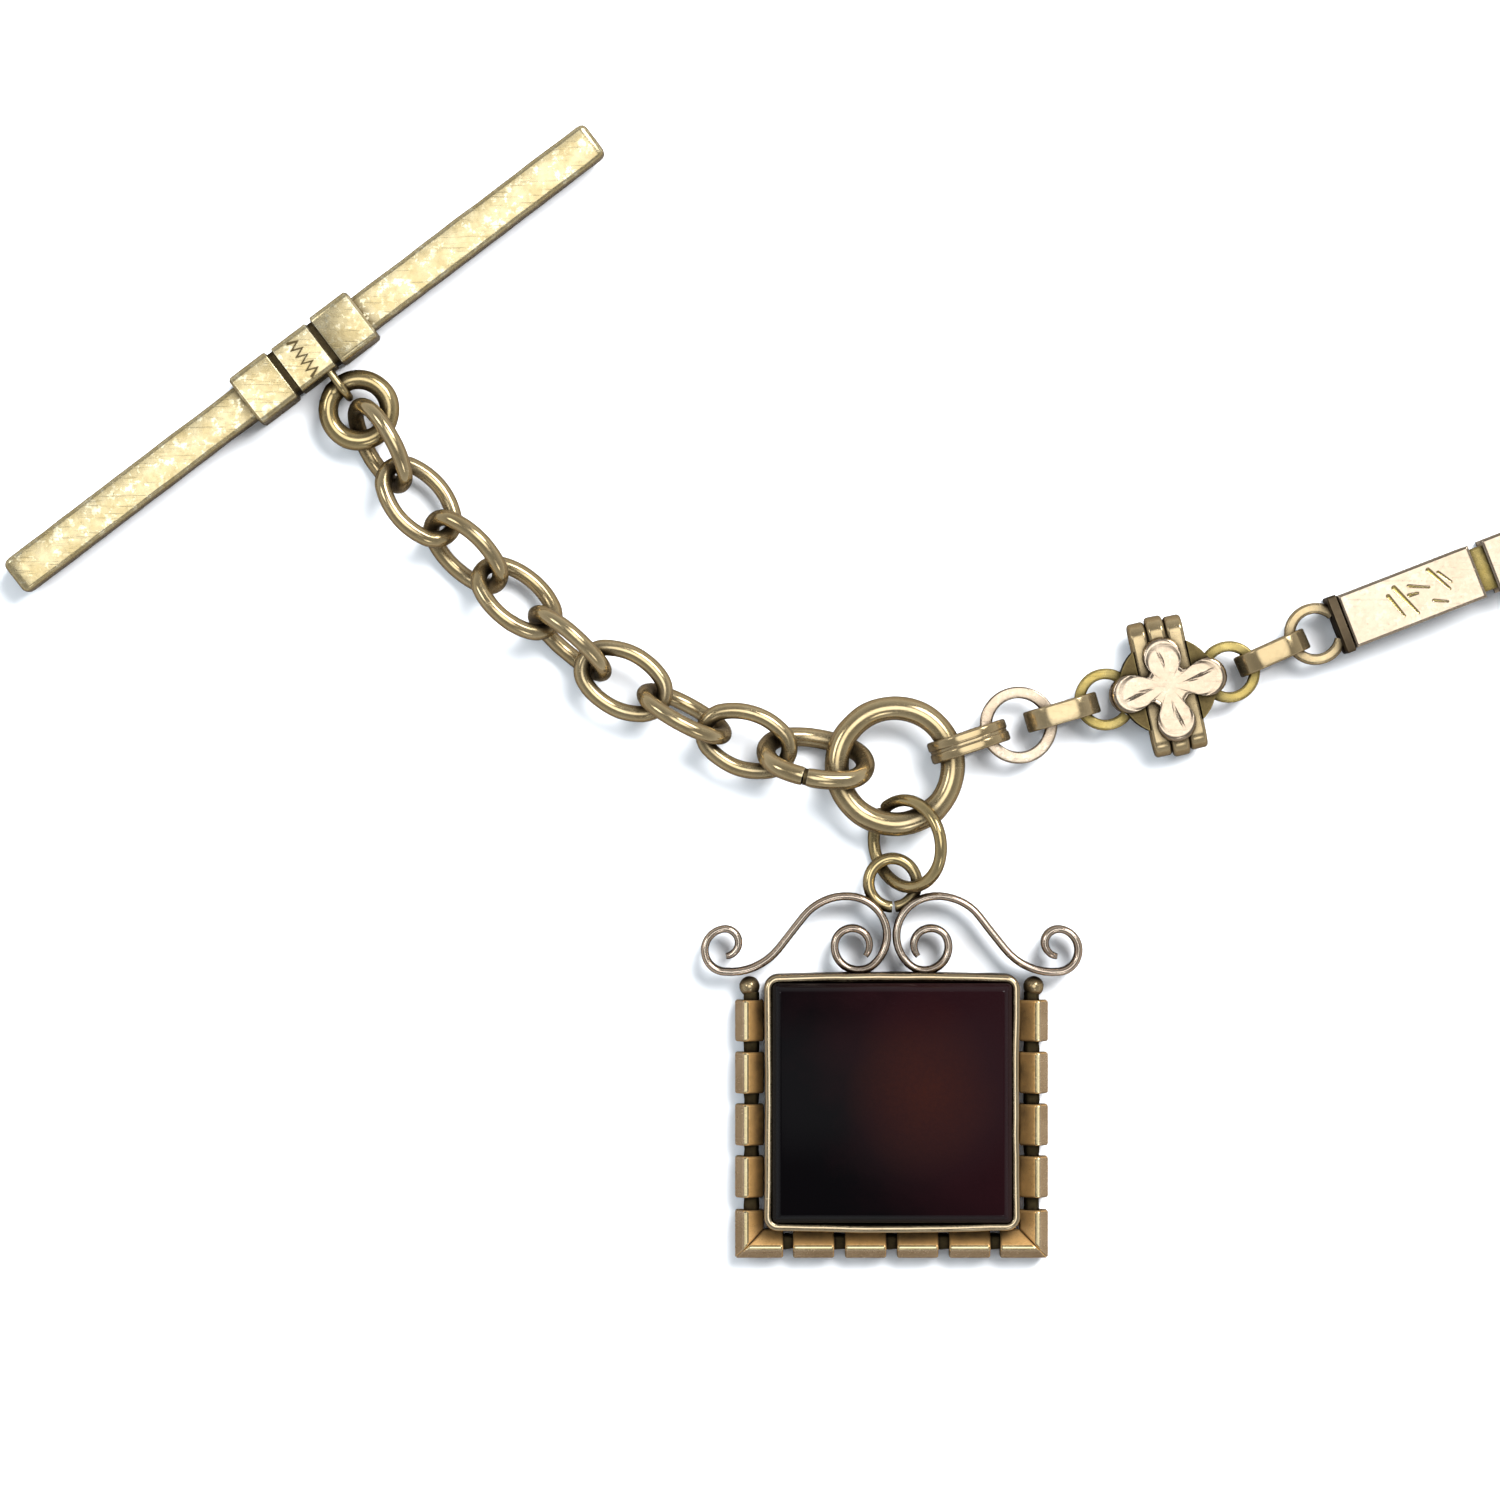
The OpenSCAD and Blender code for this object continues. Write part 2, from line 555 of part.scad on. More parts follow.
// Gate lever: a thin root on the pin, then an arm that closes against the hook's nose
module swivel_gate() color("#A8925E") at_swivel() difference() {
    union() {
        translate([gate_pin_x, -hook_r, -0.35]) cylinder(r = 0.8, h = root_t);
        translate([gate_pin_x, -hook_r - 0.4, -0.35]) cube([1.2, 0.8, root_t]);
        translate([gate_pin_x + 0.95, -hook_r - 0.4, -0.4])
            cube([hook_far - nose_l - 0.05 - gate_pin_x - 0.95, 0.8, 0.8]);
        translate([hook_far - nose_l - 2.2, -hook_r, 0]) rotate([0, 90, 0])
            cylinder(r = 0.75, h = 2.15);
    }
    translate([gate_pin_x, -hook_r, 0]) cylinder(r = gate_pin_r + fit, h = 4, center = true);
}

// Turn of spring wire round the pin, beside the gate's root, that pushes the gate shut
module swivel_gate_spring() color("#7A7468") at_swivel()
    translate([gate_pin_x, -hook_r, 0.28]) flat_ring(1.3, 2 * (gate_pin_r + fit), 0.2);

// ================= nodes =================

centre_ring();
split_link();
oval_link(1);  // link_1
oval_link(2);  // link_2
oval_link(3);  // link_3
oval_link(4);  // link_4
oval_link(5);  // link_5
oval_link(6);  // link_6
oval_link(7);  // link_7
oval_link(8);  // link_8
t_bar_ring();
t_bar();
t_bar_sleeve();
t_bar_staple();
fob_jump_ring();
fob_bail();
fob_scroll_left();
fob_scroll_right();
fob_border_left();
fob_border_right();
fob_border_bottom();
fob_bezel();
fob_stone();
fob_back();
double_strap_link();
washer_ring();
strap_link(1);  // strap_link_1
strap_link(2);  // strap_link_2
strap_link(3);  // strap_link_3
strap_link(4);  // strap_link_4
strap_link(5);  // strap_link_5
strap_link(6);  // strap_link_6
bead_drum(1);  // bead_1_drum
bead_hoop(1);  // bead_1_hoop
bead_flowers(1);  // bead_1_flowers
bead_rings(1);  // bead_1_rings
bead_drum(2);  // bead_2_drum
bead_hoop(2);  // bead_2_hoop
bead_flowers(2);  // bead_2_flowers
bead_rings(2);  // bead_2_rings
bead_drum(3);  // bead_3_drum
bead_hoop(3);  // bead_3_hoop
bead_flowers(3);  // bead_3_flowers
bead_rings(3);  // bead_3_rings
bar_core(1);  // bar_1_core
bar_plates(1);  // bar_1_plates
bar_caps(1);  // bar_1_caps
bar_rings(1);  // bar_1_rings
bar_core(2);  // bar_2_core
bar_plates(2);  // bar_2_plates
bar_caps(2);  // bar_2_caps
bar_rings(2);  // bar_2_rings
swivel_eye();
swivel_post();
swivel_hook();
swivel_gate();
swivel_gate_pin();
swivel_gate_spring();
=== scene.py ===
# %% [markdown]
# # A pocket watch chain
# The chain lies on a table: a T-bar on oval links, a framed stone fob on a jump ring, and a run
# of strap links, flower beads and engraved bars that ends in a swivel clip. The measured model is
# loaded first. Every piece below takes its place from it, so nothing has to be fitted by eye.

# %% Load the measured model
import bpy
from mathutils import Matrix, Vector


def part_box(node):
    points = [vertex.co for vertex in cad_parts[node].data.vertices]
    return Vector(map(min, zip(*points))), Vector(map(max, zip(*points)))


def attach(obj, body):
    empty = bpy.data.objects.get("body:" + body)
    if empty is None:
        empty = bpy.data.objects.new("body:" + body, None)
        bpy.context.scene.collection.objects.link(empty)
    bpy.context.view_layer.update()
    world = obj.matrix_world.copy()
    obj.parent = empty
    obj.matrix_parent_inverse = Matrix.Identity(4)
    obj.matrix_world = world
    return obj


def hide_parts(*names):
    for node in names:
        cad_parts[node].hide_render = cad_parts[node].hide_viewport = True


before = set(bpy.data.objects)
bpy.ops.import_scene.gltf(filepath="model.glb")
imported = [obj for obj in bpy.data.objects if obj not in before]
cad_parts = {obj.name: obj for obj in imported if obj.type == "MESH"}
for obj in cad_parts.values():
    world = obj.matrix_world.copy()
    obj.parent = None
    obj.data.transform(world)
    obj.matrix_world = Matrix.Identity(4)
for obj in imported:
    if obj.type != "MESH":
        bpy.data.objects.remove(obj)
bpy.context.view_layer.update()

# %% Modules and units
import math
import bpy
import bmesh
from mathutils import Matrix, Vector, noise

noise.seed_set(7)  # the same unevenness every time

MM = 0.001
UP = Vector((0, 0, 1))


def middle(node):
    """Middle of a measured node's box, in metres."""
    lo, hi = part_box(node)
    return (Vector(lo) + Vector(hi)) / 2


def size(node):
    """Size of a measured node's box, in metres."""
    lo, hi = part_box(node)
    return Vector(hi) - Vector(lo)


def turn(heading=0.0, roll=0.0, at=(0, 0, 0)):
    """Place of a piece: rolled about its own length, turned on the table, then moved."""
    return (Matrix.Translation(Vector(at)) @ Matrix.Rotation(math.radians(heading), 4, "Z")
            @ Matrix.Rotation(math.radians(roll), 4, "X"))


print("centre ring is", round(size("centre_ring").x / MM, 2), "mm across")

# %% [markdown]
# ## Helpers that make the shapes
# Nearly everything here is wire or strip bent along a flat path. In Blender that could be a curve
# with a bevel, but a small sweep in mesh code keeps full control of the cross-section, so one
# helper makes rings, oval links, straps and scrolls. Lofts, lathed pieces and plates cover the rest.

# %% From points to a finished piece
def finish_piece(name, verts, faces, body, nodes, slot, material, smooth=True, bevel=0.0):
    """Makes the mesh, shades it, puts it on its body's empty and hides the measured nodes it stands for; slot
    is not used.
    """
    mesh = bpy.data.meshes.new(name)
    mesh.from_pydata([tuple(v) for v in verts], [], faces)
    bm = bmesh.new()
    bm.from_mesh(mesh)
    bmesh.ops.remove_doubles(bm, verts=bm.verts, dist=1e-7)
    bmesh.ops.recalc_face_normals(bm, faces=bm.faces)
    bm.to_mesh(mesh)
    bm.free()
    piece = bpy.data.objects.new(name, mesh)
    bpy.context.scene.collection.objects.link(piece)
    mesh.materials.append(material)
    for poly in mesh.polygons:
        poly.use_smooth = smooth
    if bevel:
        mod = piece.modifiers.new("edges", "BEVEL")
        mod.width = bevel
        mod.segments = 3
        mod.limit_method = "ANGLE"
        mod.angle_limit = math.radians(30)
        mod.harden_normals = False
    if smooth:
        mesh.set_sharp_from_angle(angle=math.radians(38))
    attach(piece, body)
    if nodes:
        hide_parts(*nodes)
    return piece


print("a piece can be finished")

# %% Sweeping a section along a path
SNUG = 0.985  # a made piece stays this little bit inside its measured solid


def uneven(p, amount, scale=700.0):
    """Small hand-made unevenness: moves a point by smooth noise."""
    if not amount:
        return p
    return p + noise.noise_vector(p * scale) * amount


def sweep(path, section, place, closed=True, wobble=0.0, width_at=None):
    """Sweeps a section (out, up) along a flat path of (x, y) points; returns verts and faces."""
    n, m = len(path), len(section)
    verts = []
    for i, p in enumerate(path):
        a = path[(i - 1) % n] if closed or i > 0 else path[0]
        b = path[(i + 1) % n] if closed or i < n - 1 else path[-1]
        t = Vector((b[0] - a[0], b[1] - a[1], 0)).normalized()
        out = Vector((t.y, -t.x, 0))
        k = width_at(i / (n if closed else n - 1)) if width_at else 1.0
        for u, v in section:
            q = Vector((p[0], p[1], 0)) + out * u * k + UP * v * k
            verts.append(uneven(place @ q, wobble))
    faces = []
    for i in range(n if closed else n - 1):
        j = (i + 1) % n
        for k in range(m):
            l = (k + 1) % m
            faces.append((i * m + k, j * m + k, j * m + l, i * m + l))
    if not closed:
        faces.append(tuple(range(m)))
        faces.append(tuple((n - 1) * m + k for k in reversed(range(m))))
    return verts, faces


print("wire and strip can be swept")


# %% Sections and paths
def on_circle(radius, k, count):
    """Point k of count round a circle."""
    a = 2 * math.pi * k / count
    return radius * math.cos(a), radius * math.sin(a)


def round_section(radius, count=20):
    return [on_circle(radius, k, count) for k in range(count)]


def box_section(width, height, corner, steps=4):
    """Rounded rectangle, centred, as (out, up) points."""
    pts = []
    for cx, cy, start in ((1, 1, 0), (-1, 1, 90), (-1, -1, 180), (1, -1, 270)):
        for k in range(steps + 1):
            a = math.radians(start + 90 * k / steps)
            pts.append((cx * (width / 2 - corner) + corner * math.cos(a),
                        cy * (height / 2 - corner) + corner * math.sin(a)))
    return pts


def circle_path(radius, count=96):
    return [on_circle(radius, k, count) for k in range(count)]


def arc_points(cx, cy, radius, start, end, count):
    """Points of an arc; the angles are in degrees, and the last point is left for what follows."""
    return [(cx + radius * math.cos(math.radians(start + (end - start) * k / count)),
             cy + radius * math.sin(math.radians(start + (end - start) * k / count)))
            for k in range(count)]


def oval_path(length, width, wire, end_r):
    """Middle line of an oval link, from its outside size: two small end arcs and two long side arcs."""
    a, b = (length - wire) / 2, (width - wire) / 2
    side_r = ((a - end_r) ** 2 + b * b - end_r * end_r) / (2 * (b - end_r))
    half = math.degrees(math.atan2(side_r - b, a - end_r))
    pts = []
    pts += arc_points(a - end_r, 0, end_r, -half, half, 24)
    pts += arc_points(0, b - side_r, side_r, half, 180 - half, 20)
    pts += arc_points(end_r - a, 0, end_r, 180 - half, 180 + half, 24)
    pts += arc_points(0, side_r - b, side_r, 180 + half, 360 - half, 20)
    return pts


def stadium_path(length, height, count=20):
    """Two half circles joined by straights, as a bent strap is seen from its side."""
    r = height / 2
    s = length / 2 - r
    pts = arc_points(s, 0, r, -90, 90, count)
    pts += [(s * (1 - 2 * k / 10), r) for k in range(10)]
    pts += arc_points(-s, 0, r, 90, 270, count)
    pts += [(-s * (1 - 2 * k / 10), -r) for k in range(10)]
    return pts


print("paths for rings, ovals, straps and arcs are ready")


# %% Lofts and turned shapes
def loft(sections, place, wobble=0.0):
    """Joins same-length loops of 3-D points into a closed solid."""
    m = len(sections[0])
    verts = [uneven(place @ Vector(p), wobble) for s in sections for p in s]
    faces = []
    for i in range(len(sections) - 1):
        for k in range(m):
            l = (k + 1) % m
            faces.append((i * m + k, i * m + l, (i + 1) * m + l, (i + 1) * m + k))
    faces.append(tuple(reversed(range(m))))
    faces.append(tuple((len(sections) - 1) * m + k for k in range(m)))
    return verts, faces


def lathe(profile, place, count=40):
    """Turns (along, radius) points about the X axis."""
    return loft([[(x, *on_circle(r, k, count)) for k in range(count)] for x, r in profile], place)


def merge(*parts):
    """Puts several (verts, faces) pairs into one."""
    verts, faces = [], []
    for v, f in parts:
        base = len(verts)
        verts += v
        faces += [tuple(i + base for i in face) for face in f]
    return verts, faces


print("helpers ready")

# %% [markdown]
# ## The metals
# Old gilt metal is bright where it rubs and dark where dirt and oxide stay. A painted texture
# could do this, but a procedural one needs no image and fits every piece. One node group works
# out the colour, the roughness and the height of the fine scratches and pits; it looks for corners
# with ambient occlusion and darkens them with dirt and painted shade, finds rubbed edges with the
# bevel trick, can add painted glints, and each metal sets its own tints.

# %% Node helpers
def link(tree, a, b):
    tree.links.new(a, b)


def add_node(tree, kind, **settings):
    """Adds a node; a setting is one of its inputs, or else one of its own properties."""
    node = tree.nodes.new(kind)
    for key, value in settings.items():
        if key in node.inputs:
            node.inputs[key].default_value = value
        else:
            setattr(node, key, value)
    return node


def math_node(tree, operation, a, b=None, clamp=False):
    """A Math node whose inputs are numbers or other nodes' outputs; gives back its output."""
    node = tree.nodes.new("ShaderNodeMath")
    node.operation = operation
    node.use_clamp = clamp
    for socket, value in zip(node.inputs, (a, b)):
        if value is None:
            continue
        if isinstance(value, (int, float)):
            socket.default_value = value
        else:
            tree.links.new(value, socket)
    return node.outputs[0]


def ramp(tree, value, stops):
    """Maps a value from one range to another; stops are from low, from high, to low, to high."""
    node = tree.nodes.new("ShaderNodeMapRange")
    node.clamp = True
    for key, stop in zip(("From Min", "From Max", "To Min", "To Max"), stops):
        node.inputs[key].default_value = stop
    tree.links.new(value, node.inputs["Value"])
    return node.outputs["Result"]


def mix_colour(tree, factor, a, b):
    """Colour a fading into colour b; each may be a tuple or another node's output."""
    node = tree.nodes.new("ShaderNodeMix")
    node.data_type = "RGBA"
    for socket, value in ((node.inputs[0], factor), (node.inputs[6], a), (node.inputs[7], b)):
        if isinstance(value, (int, float)):
            socket.default_value = value
        elif isinstance(value, tuple):
            socket.default_value = (*value, 1.0)
        else:
            tree.links.new(value, socket)
    return node.outputs[2]


print("node helpers ready")

# %% The aged metal group: inputs and outputs
aged = bpy.data.node_groups.new("aged_gilt", "ShaderNodeTree")
for name, kind, value in (("Rubbed", "NodeSocketColor", (0.9, 0.75, 0.5, 1)),
                          ("Body", "NodeSocketColor", (0.5, 0.4, 0.2, 1)),
                          ("Dirt", "NodeSocketColor", (0.06, 0.04, 0.02, 1)),
                          ("Dirt and Shade Reach", "NodeSocketFloat", 0.5),
                          ("Patch Size", "NodeSocketFloat", 500.0),
                          ("Wear", "NodeSocketFloat", 0.5),
                          ("Base Roughness", "NodeSocketFloat", 0.22),
                          ("Painted Glints", "NodeSocketFloat", 0.0)):
    sock = aged.interface.new_socket(name, in_out="INPUT", socket_type=kind)
    sock.default_value = value
for name, kind in (("Color", "NodeSocketColor"), ("Roughness", "NodeSocketFloat"),
                   ("Height", "NodeSocketFloat")):
    aged.interface.new_socket(name, in_out="OUTPUT", socket_type=kind)
gin = aged.nodes.new("NodeGroupInput")
gout = aged.nodes.new("NodeGroupOutput")
coord = aged.nodes.new("ShaderNodeTexCoord").outputs["Object"]
print("aged_gilt inputs:", [i.name for i in aged.interface.items_tree if i.in_out == "INPUT"])

# %% Patches, pits and scratches
patches = add_node(aged, "ShaderNodeTexNoise", Detail=4.0, Roughness=0.6)
link(aged, coord, patches.inputs["Vector"])
link(aged, gin.outputs["Patch Size"], patches.inputs["Scale"])
fine = add_node(aged, "ShaderNodeTexNoise", Scale=3800.0, Detail=3.0, Roughness=0.65)
link(aged, coord, fine.inputs["Vector"])
pits = add_node(aged, "ShaderNodeTexVoronoi", Scale=2300.0)
link(aged, coord, pits.inputs["Vector"])

scratch_sets = []
for angle, squeeze in ((0.5, 16.0), (2.1, 22.0)):
    spin = add_node(aged, "ShaderNodeMapping")
    spin.inputs["Rotation"].default_value = (0.2, 0.3, angle)
    spin.inputs["Scale"].default_value = (1.0, squeeze, 1.0)
    link(aged, coord, spin.inputs["Vector"])
    streak = add_node(aged, "ShaderNodeTexNoise", Scale=420.0, Detail=2.0, Roughness=0.5)
    link(aged, spin.outputs["Vector"], streak.inputs["Vector"])
    scratch_sets.append(ramp(aged, streak.outputs["Fac"], (0.62, 0.72, 0.0, 1.0)))
scratches = math_node(aged, "MAXIMUM", scratch_sets[0], scratch_sets[1])

print("scratch directions:", len(scratch_sets))

# %% Corners darkened with dirt and painted shade, and edges that rub bright
corner = add_node(aged, "ShaderNodeAmbientOcclusion", Distance=1.1 * MM, samples=6)
crevice_shade = ramp(aged, corner.outputs["AO"], (0.35, 0.95, 1.0, 0.0))
soft_edge = add_node(aged, "ShaderNodeBevel", Radius=0.12 * MM, samples=4)
geo = aged.nodes.new("ShaderNodeNewGeometry")
dot = aged.nodes.new("ShaderNodeVectorMath")
dot.operation = "DOT_PRODUCT"
link(aged, soft_edge.outputs["Normal"], dot.inputs[0])
link(aged, geo.outputs["Normal"], dot.inputs[1])
edge = ramp(aged, dot.outputs["Value"], (0.9, 0.995, 1.0, 0.0))

print("edge and corner masks made")

# %% Putting the metal together
patch_mask = ramp(aged, patches.outputs["Fac"], (0.38, 0.66, 0.0, 1.0))
# dirt and painted shade: corners that ambient light hardly reaches take the dark colour, unevenly
dirt_and_shade_noise = math_node(aged, "MULTIPLY", crevice_shade,
                       ramp(aged, patches.outputs["Fac"], (0.3, 0.6, 0.6, 1.3)))
dirt_and_shade_mask = math_node(aged, "MULTIPLY", dirt_and_shade_noise, gin.outputs["Dirt and Shade Reach"], clamp=True)
rub = math_node(aged, "MULTIPLY", math_node(aged, "ADD", math_node(aged, "MULTIPLY", edge, 0.9),
                                            math_node(aged, "MULTIPLY", patch_mask, 0.45)),
                gin.outputs["Wear"], clamp=True)
base = mix_colour(aged, rub, gin.outputs["Body"], gin.outputs["Rubbed"])
base = mix_colour(aged, dirt_and_shade_mask, base, gin.outputs["Dirt"])
# painted glints: small bright specks painted into the colour, where the roughness also drops
glints = add_node(aged, "ShaderNodeTexNoise", Scale=2100.0, Detail=3.0, Roughness=0.7)
link(aged, coord, glints.inputs["Vector"])
glint_mask = math_node(aged, "MULTIPLY", ramp(aged, glints.outputs["Fac"], (0.54, 0.6, 0.0, 1.0)),
                       ramp(aged, patches.outputs["Fac"], (0.4, 0.6, 0.25, 1.0)))
glint_mask = math_node(aged, "MULTIPLY", glint_mask, gin.outputs["Painted Glints"])
base = mix_colour(aged, glint_mask, base, gin.outputs["Rubbed"])
pit_mask = ramp(aged, pits.outputs["Distance"], (0.0, 0.12, 0.55, 0.0))
base = mix_colour(aged, math_node(aged, "MULTIPLY", pit_mask, 0.5), base, gin.outputs["Dirt"])
rough = math_node(aged, "ADD", gin.outputs["Base Roughness"],
                  ramp(aged, fine.outputs["Fac"], (0.3, 0.7, -0.05, 0.09)))
rough = math_node(aged, "ADD", rough, math_node(aged, "MULTIPLY", dirt_and_shade_mask, 0.3))
rough = math_node(aged, "SUBTRACT", rough, math_node(aged, "MULTIPLY", glint_mask, 0.1))
rough = math_node(aged, "ADD", rough, math_node(aged, "MULTIPLY", scratches, 0.07), clamp=True)
height = math_node(aged, "SUBTRACT", math_node(aged, "MULTIPLY", fine.outputs["Fac"], 0.5),
                   math_node(aged, "MULTIPLY", scratches, 0.35))
height = math_node(aged, "SUBTRACT", height, math_node(aged, "MULTIPLY", pit_mask, 0.5))
link(aged, base, gout.inputs["Color"])
link(aged, rough, gout.inputs["Roughness"])
link(aged, height, gout.inputs["Height"])
print("aged_gilt has", len(aged.nodes), "nodes")

# %% [markdown]
# ## One material for each finish
# The parts were gilded in different colours and have aged differently, so each finish is its own
# material. Each one places the group with its own tints and sizes. The last step paints shade on
# the flanks: a wire's sides are darkened and its top is left bright. The piece's own normal tells
# which is which, so the painted shade moves with the piece and is the same from every side.


# %% One material for each finish
def gilt(name, rubbed, body, dirt, reach=0.6, patch=500.0, wear=0.5, rough=0.2, bump=0.25,
         painted_glints=0.0, metal=1.0, edge=(0.35, 0.92, 0.75)):
    """A metal: tints, reach of the dirt and painted shade in corners, patches per metre, wear,
    roughness, bump height, painted glints, how metallic, and where the painted shade on the flanks
    starts, is darkest, and how far it goes."""
    mat = bpy.data.materials.new(name)
    mat.use_nodes = True
    tree = mat.node_tree
    shader = tree.nodes["Principled BSDF"]
    group = tree.nodes.new("ShaderNodeGroup")
    group.node_tree = aged
    for key, value in (("Rubbed", (*rubbed, 1)), ("Body", (*body, 1)), ("Dirt", (*dirt, 1)),
                       ("Dirt and Shade Reach", reach), ("Patch Size", patch), ("Wear", wear),
                       ("Base Roughness", rough), ("Painted Glints", painted_glints)):
        group.inputs[key].default_value = value
    bump_node = add_node(tree, "ShaderNodeBump", Strength=bump, Distance=0.01 * MM)
    # painted shade: the flanks, found from the piece's own normal, are darkened towards a dim copy of the
    # body colour
    own_normal = tree.nodes.new("ShaderNodeSeparateXYZ")
    link(tree, tree.nodes.new("ShaderNodeTexCoord").outputs["Normal"], own_normal.inputs[0])
    upright = math_node(tree, "ABSOLUTE", own_normal.outputs["Z"])
    flank = math_node(tree, "ADD", math_node(tree, "MULTIPLY", upright, -1.0), 1.0)
    away = ramp(tree, flank, (edge[0], edge[1], 0.0, edge[2]))
    shaded = mix_colour(tree, away, group.outputs["Color"], tuple(FLANK_SHADE * c for c in body))
    link(tree, shaded, shader.inputs["Base Color"])
    link(tree, group.outputs["Roughness"], shader.inputs["Roughness"])
    link(tree, group.outputs["Height"], bump_node.inputs["Height"])
    link(tree, bump_node.outputs["Normal"], shader.inputs["Normal"])
    shader.inputs["Metallic"].default_value = metal
    return mat


DARK = (0.035, 0.022, 0.01)
FLANK_SHADE = 0.28  # painted shade: a flank's brightness next to the clean metal
link_gilt = gilt("link_gilt", (0.95, 0.8, 0.52), (0.62, 0.47, 0.25), DARK, 0.9, 420, 0.6, 0.13,
                 metal=0.95)
ring_gilt = gilt("ring_gilt", (0.93, 0.77, 0.46), (0.58, 0.44, 0.21), DARK, 0.9, 480, 0.5, 0.13,
                 metal=0.95)
# the bar's colour carries painted glints
bar_gilt = gilt("bar_gilt", (0.97, 0.87, 0.6), (0.56, 0.44, 0.22), (0.12, 0.075, 0.025), 0.9, 900,
                0.75, 0.2, 0.9, 0.95, metal=0.9)
border_gilt = gilt("border_gilt", (0.95, 0.62, 0.28), (0.66, 0.37, 0.13), (0.05, 0.03, 0.012), 0.7,
                   500, 0.5, 0.22, metal=0.6)
# near-black metal: painted shade in the split link's gap, the sleeve's grooves and the gaps between the
# border rods; also the zigzag's dark engraving
neck_gilt = gilt("neck_gilt", (0.3, 0.22, 0.1), (0.09, 0.065, 0.03), (0.012, 0.009, 0.006), 1.0,
                 700, 0.5, 0.4)
bezel_gilt = gilt("bezel_gilt", (0.98, 0.84, 0.6), (0.7, 0.54, 0.33), DARK, 1.0, 420, 0.6, 0.14)
# lighter and browner copies of the border metal: painted highlight on the ridge, painted shade on the outer
# slope
ridge_highlight_gilt = gilt("ridge_highlight_gilt", (1.0, 0.9, 0.62), (0.8, 0.64, 0.34), DARK, 0.3, 420, 0.6, 0.14)
outer_slope_shade_gilt = gilt("outer_slope_shade_gilt", (0.85, 0.66, 0.45), (0.44, 0.31, 0.18), DARK, 0.9, 420, 0.6, 0.2,
                  metal=0.8)
# the scrolls' painted flank shade starts sooner and goes darker
scroll_gilt = gilt("scroll_gilt", (1.0, 0.9, 0.74), (0.86, 0.66, 0.5), (0.03, 0.015, 0.012), 1.0,
                   420, 0.6, 0.14, edge=(0.3, 0.72, 0.96))
drum_gilt = gilt("drum_gilt", (0.36, 0.27, 0.1), (0.12, 0.085, 0.035), (0.02, 0.014, 0.006), 1.0,
                 460, 0.5, 0.25)
strap_gilt = gilt("strap_gilt", (0.92, 0.76, 0.49), (0.52, 0.39, 0.21), DARK, 0.9, 260, 0.5, 0.15,
                  0.08, metal=0.9)
rose_gilt = gilt("rose_gilt", (0.84, 0.72, 0.57), (0.62, 0.48, 0.34), (0.09, 0.05, 0.025), 1.0,
                 300, 0.6, 0.17, 0.3, 0.35)
yellow_gilt = gilt("yellow_gilt", (0.86, 0.7, 0.32), (0.42, 0.31, 0.09), (0.05, 0.035, 0.01), 1.0,
                   700, 0.6, 0.2, 0.6, metal=0.85)
cap_gilt = gilt("cap_gilt", (0.3, 0.23, 0.14), (0.12, 0.085, 0.05), (0.02, 0.012, 0.007), 1.0, 600,
                0.4, 0.36)
spring_grey = gilt("spring_grey", (0.6, 0.57, 0.5), (0.3, 0.28, 0.24), (0.03, 0.03, 0.03), 0.6,
                   600, 0.4, 0.3)
print("metals:", len([m for m in bpy.data.materials if m.use_nodes]))

# %% [markdown]
# ## The stone
# A dark cornelian is nearly black and glows red-brown where light gets through. True glass with
# absorption would be slow and noisy, so that glow is painted into the colour with soft noise under a
# polished surface. A haze crosses the stone from black to plum, and a warm painted glow sits in it.

# %% The stone's material
stone_mid = middle("fob_stone")
stone_mat = bpy.data.materials.new("dark_cornelian")
stone_mat.use_nodes = True
tree = stone_mat.node_tree
shader = tree.nodes["Principled BSDF"]
coord_out = tree.nodes.new("ShaderNodeTexCoord").outputs["Object"]
moved = add_node(tree, "ShaderNodeMapping")
moved.inputs["Location"].default_value = (-stone_mid.x, -stone_mid.y, 0)
link(tree, coord_out, moved.inputs["Vector"])
split = tree.nodes.new("ShaderNodeSeparateXYZ")
link(tree, moved.outputs["Vector"], split.inputs[0])
cloud = add_node(tree, "ShaderNodeTexNoise", Scale=190.0, Detail=5.0, Roughness=0.6)
link(tree, coord_out, cloud.inputs["Vector"])
grain = add_node(tree, "ShaderNodeTexNoise", Scale=5200.0, Detail=2.0, Roughness=0.6)
link(tree, coord_out, grain.inputs["Vector"])
across = math_node(tree, "ADD", math_node(tree, "MULTIPLY", split.outputs["X"], 150.0),
                   math_node(tree, "MULTIPLY", split.outputs["Y"], 70.0))
# painted glow: a warm patch in the colour where light would come through the stone
GLOW_AT, GLOW_TALL = (1.6 * MM, 0.6 * MM), 1.25
glow_x = math_node(tree, "SUBTRACT", split.outputs["X"], GLOW_AT[0])
glow_y = math_node(tree, "SUBTRACT", split.outputs["Y"], GLOW_AT[1])
square_x = math_node(tree, "POWER", math_node(tree, "MULTIPLY", glow_x, GLOW_TALL), 2.0)
square_y = math_node(tree, "POWER", glow_y, 2.0)
far = math_node(tree, "SQRT", math_node(tree, "ADD", square_x, square_y))
far = math_node(tree, "ADD", math_node(tree, "MULTIPLY", far, 1 / MM),
                math_node(tree, "MULTIPLY", cloud.outputs["Fac"], 3.4))
painted_glow = math_node(tree, "MULTIPLY", ramp(tree, far, (2.4, 6.6, 0.8, 0.0)),
                  ramp(tree, grain.outputs["Fac"], (0.3, 0.7, 0.75, 1.1)))
